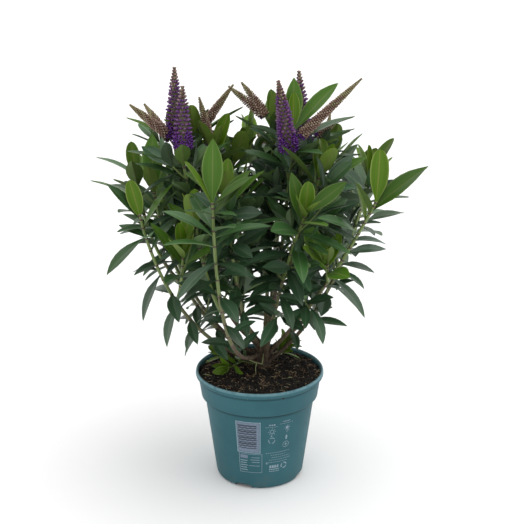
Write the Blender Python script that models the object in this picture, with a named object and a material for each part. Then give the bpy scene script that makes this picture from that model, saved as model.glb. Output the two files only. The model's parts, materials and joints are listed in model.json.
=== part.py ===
"""A flowering hebe shrub in its round grower's pot.

The pot stands with its underside on the plane z = 0, centred on the Z axis; -Y is the front.
Every piece is its own object: the pot, the soil, the trunk, one bough for each main stem, and
one mass of foliage that grows on from each bough.  Sizes are millimetres times MM.
"""

import math
import random
from collections import namedtuple

import bmesh
import bpy
from mathutils import Matrix, Vector
from mathutils.bvhtree import BVHTree

MM = 0.001
GAP = 0.3 * MM
FLAT_ANGLE = 0.3

# Pot
POT_HEIGHT = 150 * MM
RIM_RADIUS = 85 * MM
FOOT_RADIUS = 53.5 * MM
POT_WALL = 1.6 * MM
POT_FLOOR = 2.2 * MM
COLLAR_HEIGHT = 36 * MM
LIP_HEIGHT = 12 * MM
POT_SIDES = 32

# Drainage notches moulded into the foot of the pot
NOTCH_AZIMUTHS = (68, 158, 248, 338)
NOTCH_WIDTH = 24 * MM
NOTCH_HEIGHT = 6.5 * MM
NOTCH_DEPTH = 11 * MM
DRAIN_RADIUS = 1.8 * MM

# Soil
SOIL_EDGE = 144.5 * MM
SOIL_CROWN = 147 * MM

# Trunk
TRUNK_FOOT = Vector((4 * MM, 15 * MM, SOIL_CROWN + GAP))
TRUNK_LEAN = Vector((-2 * MM, -3 * MM, 30 * MM))
TRUNK_RADII = ((0.0, 11.5), (0.12, 9.6), (0.3, 8.6), (0.6, 8.2), (0.9, 8.6), (1.0, 8.4))
TRUNK_SIDES = 14
FLUTES = 5
FLUTE_DEPTH = 0.06

# Boughs
BOUGH_LENGTH = 44 * MM
BOUGH_RADII = (2.8 * MM, 2.6 * MM)
BOUGH_SIDES = 8
FOOT_TIER, LOW_TIER, MIDDLE_TIER, TOP_TIER = 0.09, 0.28, 0.68, 1.0
TOP_RING = 5.6 * MM

# Twigs
TWIG_RADII = (2.6 * MM, 1.9 * MM)
TWIG_STEP = 32 * MM
TWIG_PROUD = 1.25
FORK_SPACING = 0.12
STALK_RADIUS = 1.3 * MM
STALK_LENGTH = 15 * MM

# Leaves: pairs are counted from the tip of a stem, k = 0 being the youngest.  LEAFLESS is the
# bare foot of a mass's first stem and of its other stems (mm).
PAIR_GAPS = (6, 11, 16, 19, 21, 23)
LEAF_LENGTHS = (42, 58, 68, 74, 74, 70, 64, 58, 52, 46)
LEAF_ANGLES = (14, 26, 40, 52, 60, 64, 66, 68, 70, 70)
LEAF_BENDS = (4, 9, 14, 20, 26, 30, 34, 36, 38, 40)
LEAF_DROOPS = (0, 0, 0, 0, 0.03, 0.08, 0.14, 0.2, 0.26, 0.3)
LEAF_WIDTH = 0.31
LEAF_FOLD = 0.012
LEAF_THICKNESS = 0.018
LEAF_HALF_WIDTHS = ((0.0, 0.14), (0.12, 0.2), (0.38, 0.86), (0.58, 1.0), (0.8, 0.72), (1.0, 0.0))
LEAF_STATIONS = (0.36, 0.7)
LEAF_ROOT = 0.8 * MM
FREE_FROM = 0.14
CLEARANCE = 0.7 * MM
LOWEST_LEAF = 178 * MM
LOWEST_SPROUT_LEAF = 150 * MM
SPROUT_SIZE = 0.6
LEAFLESS = (9, 24)
SHADED_FROM = 4
SHADED_SHARE = 0.36

# Second tries for a leaf that would touch something: turn and lift in degrees, and its size
TRIES = ((0, 0, 1), (16, -8, 1), (-16, 8, 1), (24, 12, 0.9), (-26, -14, 0.85), (10, -22, 0.75))

# Flower spikes
BLOOM, BUD = "bloom", "bud"
SPIKE_RADII = {BLOOM: 13 * MM, BUD: 7 * MM}
SPIKE_PROFILE = ((0.0, 0.35), (0.07, 1.0), (0.5, 0.7), (0.93, 0.32))
SPIKE_SIDES = 6

# A stem ends at this azimuth round the trunk (degrees, 0 is +X and 90 the back), this far out
# and this high over the trunk's top (mm); bow is how far its curve runs outward before it rises,
# and phase turns its pairs of leaves round it (degrees).
Stem = namedtuple("Stem", "azimuth reach rise bow phase", defaults=(0,))

# A spike leaves its stem so many mm under the stem's tip, towards this azimuth, at this lean
# from upright (degrees), and is this long (mm).
Spike = namedtuple("Spike", "stem below azimuth lean length state")

# A mass grows on from the bough that leaves the trunk at the given tier and azimuth.  Its first
# stem continues the bough; the others leave the first at the share of its length given as fork.
# A sprout has no bough and starts at the trunk's foot; its size is a share of a full mass's.
Mass = namedtuple("Mass", "name tier exit fork stems spikes size", defaults=((), 1.0))

MASSES = (
    Mass("far_left", LOW_TIER, 205, 0.45,
         (Stem(203, 163, 201, 0.26, 0), Stem(224, 132, 160, 0.2, 90))),
    Mass("left", MIDDLE_TIER, 187, 0.4,
         (Stem(191, 137, 219, 0.28, 0), Stem(165, 170, 224, 0.3, 90))),
    Mass("front_left", MIDDLE_TIER, 243, 0.45,
         (Stem(249, 157, 240, 0.44, 170), Stem(224, 112, 196, 0.2, 0))),
    Mass("front_centre", TOP_TIER, 258, 0.4,
         (Stem(244, 94, 232, 0.28, 140), Stem(235, 43, 226, 0.1, 10))),
    Mass("flowering_left", TOP_TIER, 186, 0.55,
         (Stem(202, 105, 272, 0.26, 70), Stem(180, 110, 282, 0.2, 90)),
         (Spike(0, 10, 90, 9, 78, BLOOM), Spike(1, 14, 288, 3, 91, BLOOM),
          Spike(1, 2, 222, 51, 71, BUD), Spike(1, 10, 126, 60, 69, BUD))),
    Mass("upper_left", TOP_TIER, 114, 0.5,
         (Stem(161, 91, 277, 0.24, 170), Stem(175, 60, 262, 0.15, 90),
          Stem(140, 42, 250, 0.1, 50)),
         (Spike(0, 2, 348, 36, 74, BUD), Spike(1, 4, 165, 14, 62, BUD))),
    Mass("flowering_right", TOP_TIER, 330, 0.5,
         (Stem(317, 54, 305, 0.15, 140), Stem(5, 58, 276, 0.2, 110)),
         (Spike(0, 42, 246, 21, 98, BLOOM), Spike(1, 14, 144, 6, 90, BLOOM),
          Spike(0, 22, 348, 45, 105, BUD), Spike(1, 2, 6, 54, 33, BUD))),
    Mass("upper_centre", TOP_TIER, 42, 0.55,
         (Stem(66, 40, 297, 0.12, 80), Stem(100, 80, 262, 0.2, 10)),
         (Spike(0, 3, 168, 53, 60, BUD), Spike(0, 6, 160, 40, 54, BUD))),
    Mass("front_right", LOW_TIER, 285, 0.5,
         (Stem(296, 124, 217, -0.1, 40), Stem(322, 92, 252, 0.12, 140))),
    Mass("far_right", MIDDLE_TIER, 329, 0.45,
         (Stem(325, 169, 227, 0.07, 110), Stem(309, 128, 150, 0.2, 60))),
    Mass("right", LOW_TIER, 0, 0.45,
         (Stem(1, 138, 238, 0.22, 120), Stem(27, 102, 250, 0.2, 170))),
    Mass("back_right", MIDDLE_TIER, 34, 0.45,
         (Stem(33, 172, 205, 0.3, 40), Stem(52, 124, 226, 0.2, 10)),
         (Spike(1, 12, 60, 24, 66, BUD),)),
    Mass("back_centre", LOW_TIER, 74, 0.45,
         (Stem(82, 168, 205, 0.3, 90), Stem(74, 108, 232, 0.2, 60)),
         (Spike(1, 14, 70, 10, 76, BLOOM), Spike(1, 20, 130, 50, 62, BUD))),
    Mass("back_left", MIDDLE_TIER, 112, 0.45,
         (Stem(112, 172, 200, 0.3, 150), Stem(134, 132, 222, 0.2, 10)),
         (Spike(1, 14, 140, 12, 74, BLOOM),)),
    Mass("left_back", LOW_TIER, 146, 0.45,
         (Stem(146, 176, 206, 0.3, 80), Stem(160, 128, 168, 0.2, 20))),
    Mass("sprout_left", FOOT_TIER, 188, 0.35,
         (Stem(188, 56, -8, 0.1), Stem(216, 54, -20, 0.1, 20)), (), 0.42),
    Mass("sprout_right", FOOT_TIER, 30, 0.5, (Stem(28, 40, -6, 0.0, 50),), (), 0.4),
)
BOUGHED = [mass for mass in MASSES if mass.tier > FOOT_TIER]

# A leaf that stands out has its own place: its stem, how far under the stem's tip it sits (mm),
# its azimuth, its rise from level (degrees), its length (mm) and its age in pairs from the tip.
Known = namedtuple("Known", "stem below azimuth rise length age")
KNOWN = {
    "left": (Known(0, 2, 97, 72, 76, 2), Known(0, 2, 220, 76, 40, 0),
             Known(1, 2, 121, 75, 45, 0), Known(1, 2, 160, 19, 62, 4)),
    "far_left": (Known(0, 5, 145, 71, 49, 1), Known(0, 9, 171, 47, 63, 3),
                 Known(0, 31, 210, -37, 69, 4), Known(0, 33, 146, 12, 46, 4),
                 Known(0, 80, 140, -15, 50, 6), Known(0, 86, 228, -59, 64, 6),
                 Known(0, 133, 241, -63, 59, 8), Known(0, 175, 253, -37, 42, 9)),
    "far_right": (Known(0, 1, 76, 72, 64, 1), Known(0, 15, 4, 39, 88, 2),
                  Known(0, 31, 31, 2, 60, 4), Known(0, 31, 165, 76, 49, 1),
                  Known(0, 85, 23, -1, 58, 5), Known(0, 103, 19, -19, 52, 6),
                  Known(0, 113, 307, -10, 56, 7), Known(0, 125, 337, -47, 68, 7),
                  Known(0, 182, 299, -50, 54, 9), Known(0, 231, 281, -17, 44, 9)),
    "flowering_right": (Known(0, 2, 87, 70, 63, 2), Known(0, 2, 107, 78, 45, 0),
                        Known(0, 8, 14, 46, 83, 2), Known(0, 23, 2, 28, 90, 3),
                        Known(1, 9, 2, 26, 71, 3)),
    "flowering_left": (Known(1, 2, 181, 26, 67, 2),),
    "upper_left": (Known(0, 4, 9, 33, 77, 2),),
    "right": (Known(0, 5, 27, 51, 58, 1), Known(0, 9, 126, 63, 46, 1),
              Known(0, 12, 54, 75, 52, 0)),
    "front_left": (Known(0, 1, 89, 69, 76, 2), Known(0, 2, 162, 66, 60, 1),
                   Known(0, 4, 3, 37, 58, 2), Known(0, 13, 320, 6, 38, 3),
                   Known(0, 15, 215, 16, 42, 3), Known(0, 42, 183, 28, 68, 4),
                   Known(0, 44, 3, 11, 70, 4), Known(0, 75, 214, -35, 66, 5),
                   Known(0, 94, 337, 5, 53, 5), Known(1, 114, 214, -17, 36, 8)),
    "front_centre": (Known(0, 2, 83, 76, 46, 0), Known(0, 168, 283, -38, 41, 8),
                     Known(1, 1, 35, 75, 41, 0)),
    "front_right": (Known(0, 2, 8, 38, 62, 2), Known(0, 10, 358, 72, 51, 1),
                    Known(0, 30, 146, 72, 63, 3), Known(0, 37, 349, -20, 71, 4),
                    Known(0, 63, 210, 50, 43, 3), Known(0, 100, 175, 18, 61, 5),
                    Known(0, 141, 175, 12, 35, 6), Known(0, 194, 282, -11, 27, 8)),
}
# Leaves of the rule within this reach and angle of a known leaf give way to it.
KNOWN_REACH = 9 * MM
KNOWN_ANGLE = math.radians(42)

# Leaves that the plant has shed, as their numbers from the tip down each stem of a mass.
SHED = {
    "far_left": ((4, 9, 11, 23), (8,)),
    "left": ((17,), (10, 17)),
    "flowering_left": ((2,), (4, 5)),
    "upper_centre": ((), (3,)),
    "far_right": ((7, 9, 10, 18, 20, 23), ()),
    "right": ((4, 9, 15, 23, 24), (1,)),
    "back_right": ((15, 18), ()),
}

PLASTIC = ((0.055, 0.137, 0.152), 0.42)
EARTH = ((0.030, 0.019, 0.012), 0.95)
BARK = ((0.115, 0.062, 0.036), 0.85)
FOLIAGE = ((0.040, 0.100, 0.040), 0.45)


# Scene and materials
def clear_scene():
    for item in list(bpy.data.objects):
        bpy.data.objects.remove(item, do_unlink=True)


def material(name, look):
    colour, roughness = look
    made = bpy.data.materials.get(name) or bpy.data.materials.new(name)
    made.use_nodes = True
    shader = made.node_tree.nodes["Principled BSDF"]
    shader.inputs["Base Color"].default_value = (*colour, 1.0)
    shader.inputs["Roughness"].default_value = roughness
    shader.inputs["Metallic"].default_value = 0.0
    return made


def new_object(name, points, faces):
    """A closed mesh object with its faces pointing outwards."""
    mesh = bpy.data.meshes.new(name)
    mesh.from_pydata([tuple(point) for point in points], [], faces)
    shape = bmesh.new()
    shape.from_mesh(mesh)
    bmesh.ops.recalc_face_normals(shape, faces=shape.faces)
    shape.to_mesh(mesh)
    shape.free()
    made = bpy.data.objects.new(name, mesh)
    bpy.context.scene.collection.objects.link(made)
    return made


def combine(target, others, operation, solver="EXACT"):
    """Unite or cut target with other objects in one Boolean, apply it and remove them."""
    group = bpy.data.collections.new("operands")
    bpy.context.scene.collection.children.link(group)
    for piece in others:
        group.objects.link(piece)
    modifier = target.modifiers.new(operation.title(), "BOOLEAN")
    modifier.operation = operation
    modifier.operand_type = "COLLECTION"
    modifier.collection = group
    modifier.solver = solver
    depsgraph = bpy.context.evaluated_depsgraph_get()
    mesh = bpy.data.meshes.new_from_object(target.evaluated_get(depsgraph))
    target.modifiers.remove(modifier)
    target.data = mesh
    for piece in others:
        bpy.data.objects.remove(piece, do_unlink=True)
    bpy.data.collections.remove(group)
    return target


def islands(shape):
    """The groups of faces of a bmesh that are joined across edges with just two faces."""
    left = set(shape.faces)
    while left:
        group = {left.pop()}
        edge_faces = list(group)
        while edge_faces:
            face = edge_faces.pop()
            plain = [edge for edge in face.edges if len(edge.link_faces) == 2]
            for other in (other for edge in plain for other in edge.link_faces):
                if other in left:
                    left.remove(other)
                    group.add(other)
                    edge_faces.append(other)
        yield group


def volume(faces):
    """Signed volume inside a group of triangles."""
    total = 0.0
    for face in faces:
        a, b, c = (vert.co for vert in face.verts)
        total += a.dot(b.cross(c)) / 6
    return total


def keep_largest_body(made):
    """Drop loose scraps and fill sealed hollows, which are islands apart from the main body."""
    shape = bmesh.new()
    shape.from_mesh(made.data)
    bmesh.ops.dissolve_limit(shape, angle_limit=math.radians(FLAT_ANGLE), verts=shape.verts,
                             edges=shape.edges)
    bmesh.ops.triangulate(shape, faces=shape.faces)
    bodies = sorted(islands(shape), key=volume, reverse=True)
    spare = [face for body in bodies[1:] for face in body]
    bmesh.ops.delete(shape, geom=spare, context="FACES")
    shape.to_mesh(made.data)
    shape.free()


def finish(made, look_name, look, sharp=35):
    made.data.materials.clear()
    made.data.materials.append(material(look_name, look))
    made.data.shade_smooth()
    made.data.set_sharp_from_angle(angle=math.radians(sharp))


# Curves and tubes
def polar(azimuth, radius, height=0.0):
    angle = math.radians(azimuth)
    return Vector((radius * math.cos(angle), radius * math.sin(angle), height))


def bend_curve(start, control, end, steps=60):
    """Points of a quadratic curve."""
    points = []
    for step in range(steps + 1):
        t = step / steps
        points.append(start.lerp(control, t).lerp(control.lerp(end, t), t))
    return points


def along(points, distance):
    """The point and direction at a distance along a run of points, carried on past its ends."""
    walked = 0.0
    for first, second in zip(points, points[1:]):
        length = (second - first).length
        if walked + length >= distance:
            break
        walked += length
    direction = (second - first).normalized()
    return first + direction * (distance - walked), direction


def length_of(points):
    return sum((second - first).length for first, second in zip(points, points[1:]))


def side_of(direction, hint=Vector((0.31, 0.17, 0.94))):
    """A unit vector square to a direction, as near to the hint as can be."""
    side = hint - direction * hint.dot(direction)
    return side.normalized()


def tube(points, distances, radii, sides):
    """Vertices and faces of a closed tapering tube through stations along a run of points."""
    verts, faces = [], []
    for distance, radius in zip(distances, radii):
        centre, direction = along(points, distance)
        across = side_of(direction)
        other = direction.cross(across)
        for side in range(sides):
            angle = 2 * math.pi * side / sides
            verts.append(centre + radius * (math.cos(angle) * across + math.sin(angle) * other))
    last = len(verts) - sides
    for ring in range(0, last, sides):
        for side in range(sides):
            after = (side + 1) % sides
            faces.append((ring + side, ring + after, ring + sides + after, ring + sides + side))
    faces.append(tuple(reversed(range(sides))))
    faces.append(tuple(range(last, last + sides)))
    return verts, faces


def turned(name, profile, sides, centre=Vector()):
    """A solid of revolution through (radius, height) points; the end points lie on the axis."""
    verts, faces = [], []
    rings = []
    for radius, height in profile:
        start = len(verts)
        if radius == 0:
            verts.append(centre + Vector((0, 0, height)))
            rings.append([start] * sides)
        else:
            verts.extend(centre + polar(360 * side / sides, radius, height)
                         for side in range(sides))
            rings.append(list(range(start, start + sides)))
    for lower, upper in zip(rings, rings[1:]):
        for side in range(sides):
            after = (side + 1) % sides
            corners = (lower[side], lower[after], upper[after], upper[side])
            faces.append(tuple(dict.fromkeys(corners)))
    return new_object(name, verts, faces)


# Pot and soil
def wall_radius(height):
    """Outer radius of the pot's body, which tapers from the collar to the foot."""
    low, high = FOOT_RADIUS + 4.7 * MM, RIM_RADIUS - 13.7 * MM
    return low + (high - low) * height / (POT_HEIGHT - COLLAR_HEIGHT)


def pot_outline():
    """The pot's (radius, height) outline from the floor's centre round the rim and back inside."""
    collar_foot = POT_HEIGHT - COLLAR_HEIGHT
    lip = POT_HEIGHT - LIP_HEIGHT
    outside = [(0, 0), (FOOT_RADIUS, 0), (FOOT_RADIUS + 3 * MM, 1.5 * MM),
               (wall_radius(5 * MM), 5 * MM), (wall_radius(collar_foot), collar_foot - 2 * MM),
               (RIM_RADIUS - 10.2 * MM, collar_foot - 1.2 * MM),
               (RIM_RADIUS - 8.2 * MM, collar_foot + 1 * MM),
               (RIM_RADIUS - 4.4 * MM, lip), (RIM_RADIUS - 1.4 * MM, lip + 1.6 * MM),
               (RIM_RADIUS, lip + 5 * MM), (RIM_RADIUS - 0.2 * MM, POT_HEIGHT - 2 * MM),
               (RIM_RADIUS - 1.4 * MM, POT_HEIGHT)]
    inside = [(RIM_RADIUS - 3 * MM, POT_HEIGHT - 0.6 * MM),
              (RIM_RADIUS - 6 * MM, lip - 1 * MM),
              (RIM_RADIUS - 9.8 * MM, collar_foot + 1 * MM),
              (wall_radius(collar_foot) - POT_WALL, collar_foot - 2 * MM),
              (wall_radius(5 * MM) - POT_WALL, 6 * MM),
              (FOOT_RADIUS - 0.5 * MM, POT_FLOOR), (0, POT_FLOOR)]
    return outside, inside


def arch(azimuth, width, height, inner, outer, below, sides=4):
    """A block with an arched top that runs radially at an azimuth, from z = below upwards."""
    outline = [(-width / 2, below), (width / 2, below)]
    for step in range(sides + 1):
        angle = math.pi * step / sides
        rise = math.sin(angle) ** 0.6
        outline.append((width / 2 * math.cos(angle), height * (0.35 + 0.65 * rise)))
    turn = Matrix.Rotation(math.radians(azimuth), 3, "Z")
    verts = [turn @ Vector((radius, across, z)) for radius in (inner, outer) for across, z in outline]
    count = len(outline)
    faces = [tuple(range(count)), tuple(range(count, 2 * count))]
    for corner in range(count):
        after = (corner + 1) % count
        faces.append((corner, after, count + after, count + corner))
    return new_object("arch", verts, faces)


def drain(azimuth):
    """A short round bar through the back wall of a notch."""
    inner = FOOT_RADIUS - NOTCH_DEPTH - 4 * MM
    middle = NOTCH_HEIGHT / 2
    points = [polar(azimuth, inner, middle), polar(azimuth, inner + 8 * MM, middle)]
    return new_object("drain", *tube(points, (0, 8 * MM), (DRAIN_RADIUS, DRAIN_RADIUS), 6))


def make_pot():
    outside, inside = pot_outline()
    pot = turned("pot", outside + inside, POT_SIDES)
    back = FOOT_RADIUS - NOTCH_DEPTH
    housings = [arch(azimuth, NOTCH_WIDTH + 2 * POT_WALL, NOTCH_HEIGHT + POT_WALL,
                     back - POT_WALL, FOOT_RADIUS + 1 * MM, 0.6 * MM)
                for azimuth in NOTCH_AZIMUTHS]
    combine(pot, housings, "UNION")
    cutters = [arch(azimuth, NOTCH_WIDTH, NOTCH_HEIGHT, back, FOOT_RADIUS + 9 * MM, -1 * MM)
               for azimuth in NOTCH_AZIMUTHS]
    cutters += [drain(azimuth) for azimuth in NOTCH_AZIMUTHS]
    combine(pot, cutters, "DIFFERENCE")
    keep_largest_body(pot)
    finish(pot, "teal plastic", PLASTIC)
    return pot


def soil_height(x, y):
    """Height of the mound of soil, lumpy by a sum of waves, level round the trunk."""
    radius = math.hypot(x, y) / RIM_RADIUS
    mound = SOIL_EDGE + (SOIL_CROWN - SOIL_EDGE) * (1 - radius ** 2)
    wave = math.sin(x * 210 + 1) * math.cos(y * 170 + 2) + 0.6 * math.sin(x * 90 - y * 330)
    from_trunk = math.hypot(x - TRUNK_FOOT.x, y - TRUNK_FOOT.y)
    share = min(1.0, max(0.0, (from_trunk - 18 * MM) / (14 * MM)))
    return SOIL_CROWN * (1 - share) + (mound + wave * 0.9 * MM) * share


def make_soil():
    """The compost fills the pot, 0.3 mm clear of it, with a level pad under the trunk."""
    outside, inside = pot_outline()
    profile = [(0, POT_FLOOR + GAP)]
    for radius, height in reversed(inside[:-1]):
        if height < SOIL_EDGE - 2 * MM:
            lift = GAP if radius < FOOT_RADIUS else 0
            profile.append((radius - GAP * 1.2, height + lift))
    brim = profile[-1][0] + 0.6 * MM
    profile.append((brim + 0.6 * MM, SOIL_EDGE))
    shares = (0.8, 0.55, 0.32, 0.12)
    profile += [(brim * share, SOIL_EDGE) for share in shares] + [(0, SOIL_EDGE)]
    soil = turned("soil", profile, POT_SIDES)
    for vert in soil.data.vertices:
        if vert.co.z > SOIL_EDGE - 1 * MM:
            vert.co.z = soil_height(vert.co.x, vert.co.y)
    back = FOOT_RADIUS - NOTCH_DEPTH
    housings = [arch(azimuth, NOTCH_WIDTH + 2 * POT_WALL + 2 * GAP, NOTCH_HEIGHT + POT_WALL + GAP,
                     back - POT_WALL - GAP, FOOT_RADIUS + 9 * MM, 0)
                for azimuth in NOTCH_AZIMUTHS]
    combine(soil, housings, "DIFFERENCE")
    keep_largest_body(soil)
    finish(soil, "compost", EARTH, 60)
    return soil


# Trunk and boughs
def trunk_point(share):
    return TRUNK_FOOT + TRUNK_LEAN * share


def interpolate(table, share):
    """The value at a share, read from a table of (share, value) rows."""
    for (low, first), (high, second) in zip(table, table[1:]):
        if share <= high:
            return first + (second - first) * (share - low) / (high - low)
    return table[-1][1]


def trunk_radius(share, azimuth):
    """Radius of the trunk, which is fluted towards its foot."""
    flute = 1 + FLUTE_DEPTH * math.cos(math.radians(azimuth * FLUTES)) * (1 - share)
    return interpolate(TRUNK_RADII, share) * MM * flute


def make_trunk():
    """The short trunk stands on a flat cut at the soil and flares into its foot."""
    verts, faces = [], []
    for share, _ in TRUNK_RADII:
        centre = trunk_point(share)
        for side in range(TRUNK_SIDES):
            azimuth = 360 * side / TRUNK_SIDES
            verts.append(centre + polar(azimuth, trunk_radius(share, azimuth)))
    count = len(verts)
    for ring in range(0, count - TRUNK_SIDES, TRUNK_SIDES):
        for side in range(TRUNK_SIDES):
            after = (side + 1) % TRUNK_SIDES
            faces.append((ring + side, ring + after, ring + TRUNK_SIDES + after,
                          ring + TRUNK_SIDES + side))
    faces.append(tuple(range(TRUNK_SIDES)))
    faces.append(tuple(range(count - TRUNK_SIDES, count)))
    trunk = new_object("trunk", verts, faces)
    finish(trunk, "bark", BARK)
    return trunk


def main_curve(mass):
    """The curve of a mass's first stem, from just off the trunk's surface to the stem's tip."""
    stem = mass.stems[0]
    middle = trunk_point(mass.tier)
    tip = trunk_point(1.0) + polar(stem.azimuth, stem.reach * MM, stem.rise * MM)
    reach = TOP_RING if mass.tier == TOP_TIER else trunk_radius(mass.tier, mass.exit)
    start = middle + polar(mass.exit, reach)
    control = bowed(start, tip, stem.bow)
    heading = (control - start).normalized()
    radius = BOUGH_RADII[0] if mass in BOUGHED else TWIG_RADII[0] * TWIG_PROUD * mass.size
    if mass.tier == TOP_TIER:
        tilt = math.sqrt(1 - heading.z ** 2)
        start = start + Vector((0, 0, GAP + radius * tilt))
    else:
        lean = max(0, TRUNK_LEAN.dot(polar(mass.exit, 1)) / TRUNK_LEAN.z)
        start = start + polar(mass.exit, GAP + radius * (abs(heading.z) + lean))
    return bend_curve(start, bowed(start, tip, stem.bow), tip)


def bowed(start, end, bow):
    """The control point of a curve that runs outward first and then rises."""
    across = Vector((end.x - start.x, end.y - start.y, 0))
    up = Vector((0, 0, end.z - start.z))
    return start + across * (0.5 + bow) + up * (0.5 - bow)


def make_bough(mass):
    curve = main_curve(mass)
    shares = (0, 0.33, 0.67, 1)
    radii = [BOUGH_RADII[0] + (BOUGH_RADII[1] - BOUGH_RADII[0]) * share for share in shares]
    distances = [BOUGH_LENGTH * share for share in shares]
    bough = new_object("bough_" + mass.name, *tube(curve, distances, radii, BOUGH_SIDES))
    finish(bough, "bark", BARK)
    return bough


# Growth rule
def stem_curves(mass):
    """Curves of a mass's stems; the first starts where the bough ends."""
    whole = main_curve(mass)
    total = length_of(whole)
    start = BOUGH_LENGTH + GAP if mass in BOUGHED else 0
    steps = 40
    first = [along(whole, start + (total - start) * step / steps)[0] for step in range(steps + 1)]
    curves = [first]
    for number, stem in enumerate(mass.stems[1:]):
        share = mass.fork + FORK_SPACING * number
        root = along(first, length_of(first) * share)[0]
        tip = trunk_point(1.0) + polar(stem.azimuth, stem.reach * MM, stem.rise * MM)
        curves.append(bend_curve(root, bowed(root, tip, stem.bow), tip, 30))
    return curves


def twig_radius(distance, total):
    share = distance / total
    return TWIG_RADII[0] + (TWIG_RADII[1] - TWIG_RADII[0]) * share


def twig_mesh(curve, size):
    """A three-sided twig; its corners stand a little proud of the round stem's radius."""
    total = length_of(curve)
    count = max(2, round(total / TWIG_STEP))
    distances = [total * step / count for step in range(count + 1)]
    radii = [twig_radius(distance, total) * TWIG_PROUD * size for distance in distances]
    return tube(curve, distances, radii, 3)


Leaf = namedtuple("Leaf", "base heading top length bend")


def leaf_point(leaf, share):
    """Centre of the blade at a share of its length, and the directions along and above it."""
    centre = leaf.base.copy()
    steps = 8
    for step in range(steps):
        angle = leaf.bend * share * (step + 0.5) / steps
        centre += (leaf.heading * math.cos(angle) - leaf.top * math.sin(angle)) * (
            leaf.length * share / steps)
    angle = leaf.bend * share
    heading = leaf.heading * math.cos(angle) - leaf.top * math.sin(angle)
    top = leaf.top * math.cos(angle) + leaf.heading * math.sin(angle)
    return centre, heading, top


def leaf_mesh(leaf, from_share=0.0, swell=0.0):
    """A closed blade of ten faces: root, two pairs of edge points, a keel point and tip."""
    root, heading, top = leaf_point(leaf, from_share)
    if from_share == 0:
        root = root - heading * LEAF_ROOT
    verts = [root]
    for share in LEAF_STATIONS:
        centre, heading, top = leaf_point(leaf, share)
        across = heading.cross(top)
        reach = leaf.length * LEAF_WIDTH / 2 * interpolate(LEAF_HALF_WIDTHS, share) + swell
        lift = top * (leaf.length * LEAF_FOLD + swell)
        verts += [centre + across * reach + lift, centre - across * reach + lift]
    centre, heading, top = leaf_point(leaf, sum(LEAF_STATIONS) / 2)
    verts.append(centre - top * (leaf.length * LEAF_THICKNESS + swell))
    verts.append(leaf_point(leaf, 1.0)[0])
    faces = [(0, 1, 2), (1, 3, 2), (2, 3, 4), (3, 6, 4),
             (0, 2, 5), (0, 5, 1), (2, 4, 5), (1, 5, 3), (4, 6, 5), (3, 5, 6)]
    return verts, faces


class Space:
    """What already stands in the crown, to keep each new leaf clear of it."""

    def __init__(self):
        self.things = []

    def add(self, mesh, owner):
        verts, faces = mesh
        centre = sum(verts, Vector()) / len(verts)
        radius = max((vert - centre).length for vert in verts)
        self.things.append((centre, radius, BVHTree.FromPolygons(verts, faces), owner))

    def is_clear(self, bare, swollen, owner, stem):
        verts, faces = swollen
        centre = sum(verts, Vector()) / len(verts)
        radius = max((vert - centre).length for vert in verts)
        tight = BVHTree.FromPolygons(*bare)
        loose = BVHTree.FromPolygons(*swollen)
        for other_centre, other_radius, tree, other_owner in self.things:
            if (other_centre - centre).length > radius + other_radius:
                continue
            if other_owner == (owner, stem):
                continue
            mine = other_owner[0] == owner
            if (tight if mine else loose).overlap(tree):
                return False
        return True


def leaf_at(curve, distance, turn, k, size, nudge):
    """A leaf on a stem: turn is its azimuth round the stem, k its age in pairs from the tip."""
    base, direction = along(curve, distance)
    age = min(k, len(LEAF_LENGTHS) - 1)
    side = side_of(direction)
    other = direction.cross(side)
    angle = math.radians(turn + nudge[0])
    out = side * math.cos(angle) + other * math.sin(angle)
    lift = math.radians(LEAF_ANGLES[age] + nudge[1])
    heading = direction * math.cos(lift) + out * math.sin(lift)
    heading = (heading - Vector((0, 0, LEAF_DROOPS[age]))).normalized()
    skyward = direction + Vector((0, 0, 0.5 if age > 3 else 0.1))
    top = (skyward - heading * skyward.dot(heading)).normalized()
    length = LEAF_LENGTHS[age] * MM * size * nudge[2]
    return Leaf(base, heading, top, length, math.radians(LEAF_BENDS[age]))


def known_leaf(curve, known, nudge):
    """A leaf whose chord from base to tip points the way that is given."""
    age = min(known.age, len(LEAF_LENGTHS) - 1)
    base, direction = along(curve, length_of(curve) - known.below * MM)
    rise = math.radians(known.rise + nudge[1])
    chord = polar(known.azimuth + nudge[0], math.cos(rise), math.sin(rise))
    skyward = direction + Vector((0, 0, 0.5 if age > 3 else 0.1))
    top = (skyward - chord * skyward.dot(chord)).normalized()
    half = math.radians(LEAF_BENDS[age]) / 2
    heading = chord * math.cos(half) + top * math.sin(half)
    top = top * math.cos(half) - chord * math.sin(half)
    return Leaf(base, heading, top, known.length * MM * nudge[2], 2 * half)


def gives_way(leaf, known_leaves):
    """Whether a known leaf already grows from about the same spot in about this direction."""
    return any((leaf.base - known.base).length < KNOWN_REACH
               and leaf.heading.angle(known.heading) < KNOWN_ANGLE for known in known_leaves)


def lowest(mesh):
    return min(vert.z for vert in mesh[0])


def leaf_slots(mass, number, curve):
    """The places for leaves on one stem, youngest first: distance, turn, age, size and jitter."""
    rng = random.Random(mass.name + str(number))
    phase = mass.stems[number].phase
    distance, k = length_of(curve) - 1.5 * MM, 0
    first = LEAFLESS[min(number, 1)] * MM * mass.size
    shed = SHED.get(mass.name, ((),) * len(mass.stems))[number]
    slots = []
    while distance > first:
        for side in (0, 180):
            turn = phase + side + 90 * k + rng.uniform(-9, 9)
            lift = rng.uniform(-6, 6)
            size = rng.uniform(0.88, 1.08) * mass.size
            shaded = rng.random() < SHADED_SHARE and k >= SHADED_FROM
            if not shaded and 2 * k + side // 180 not in shed:
                slots.append((distance, turn, k, size, lift))
        gap = PAIR_GAPS[min(k, len(PAIR_GAPS) - 1)] * MM * mass.size
        distance -= gap * rng.uniform(0.9, 1.1)
        k += 1
    return slots


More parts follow.
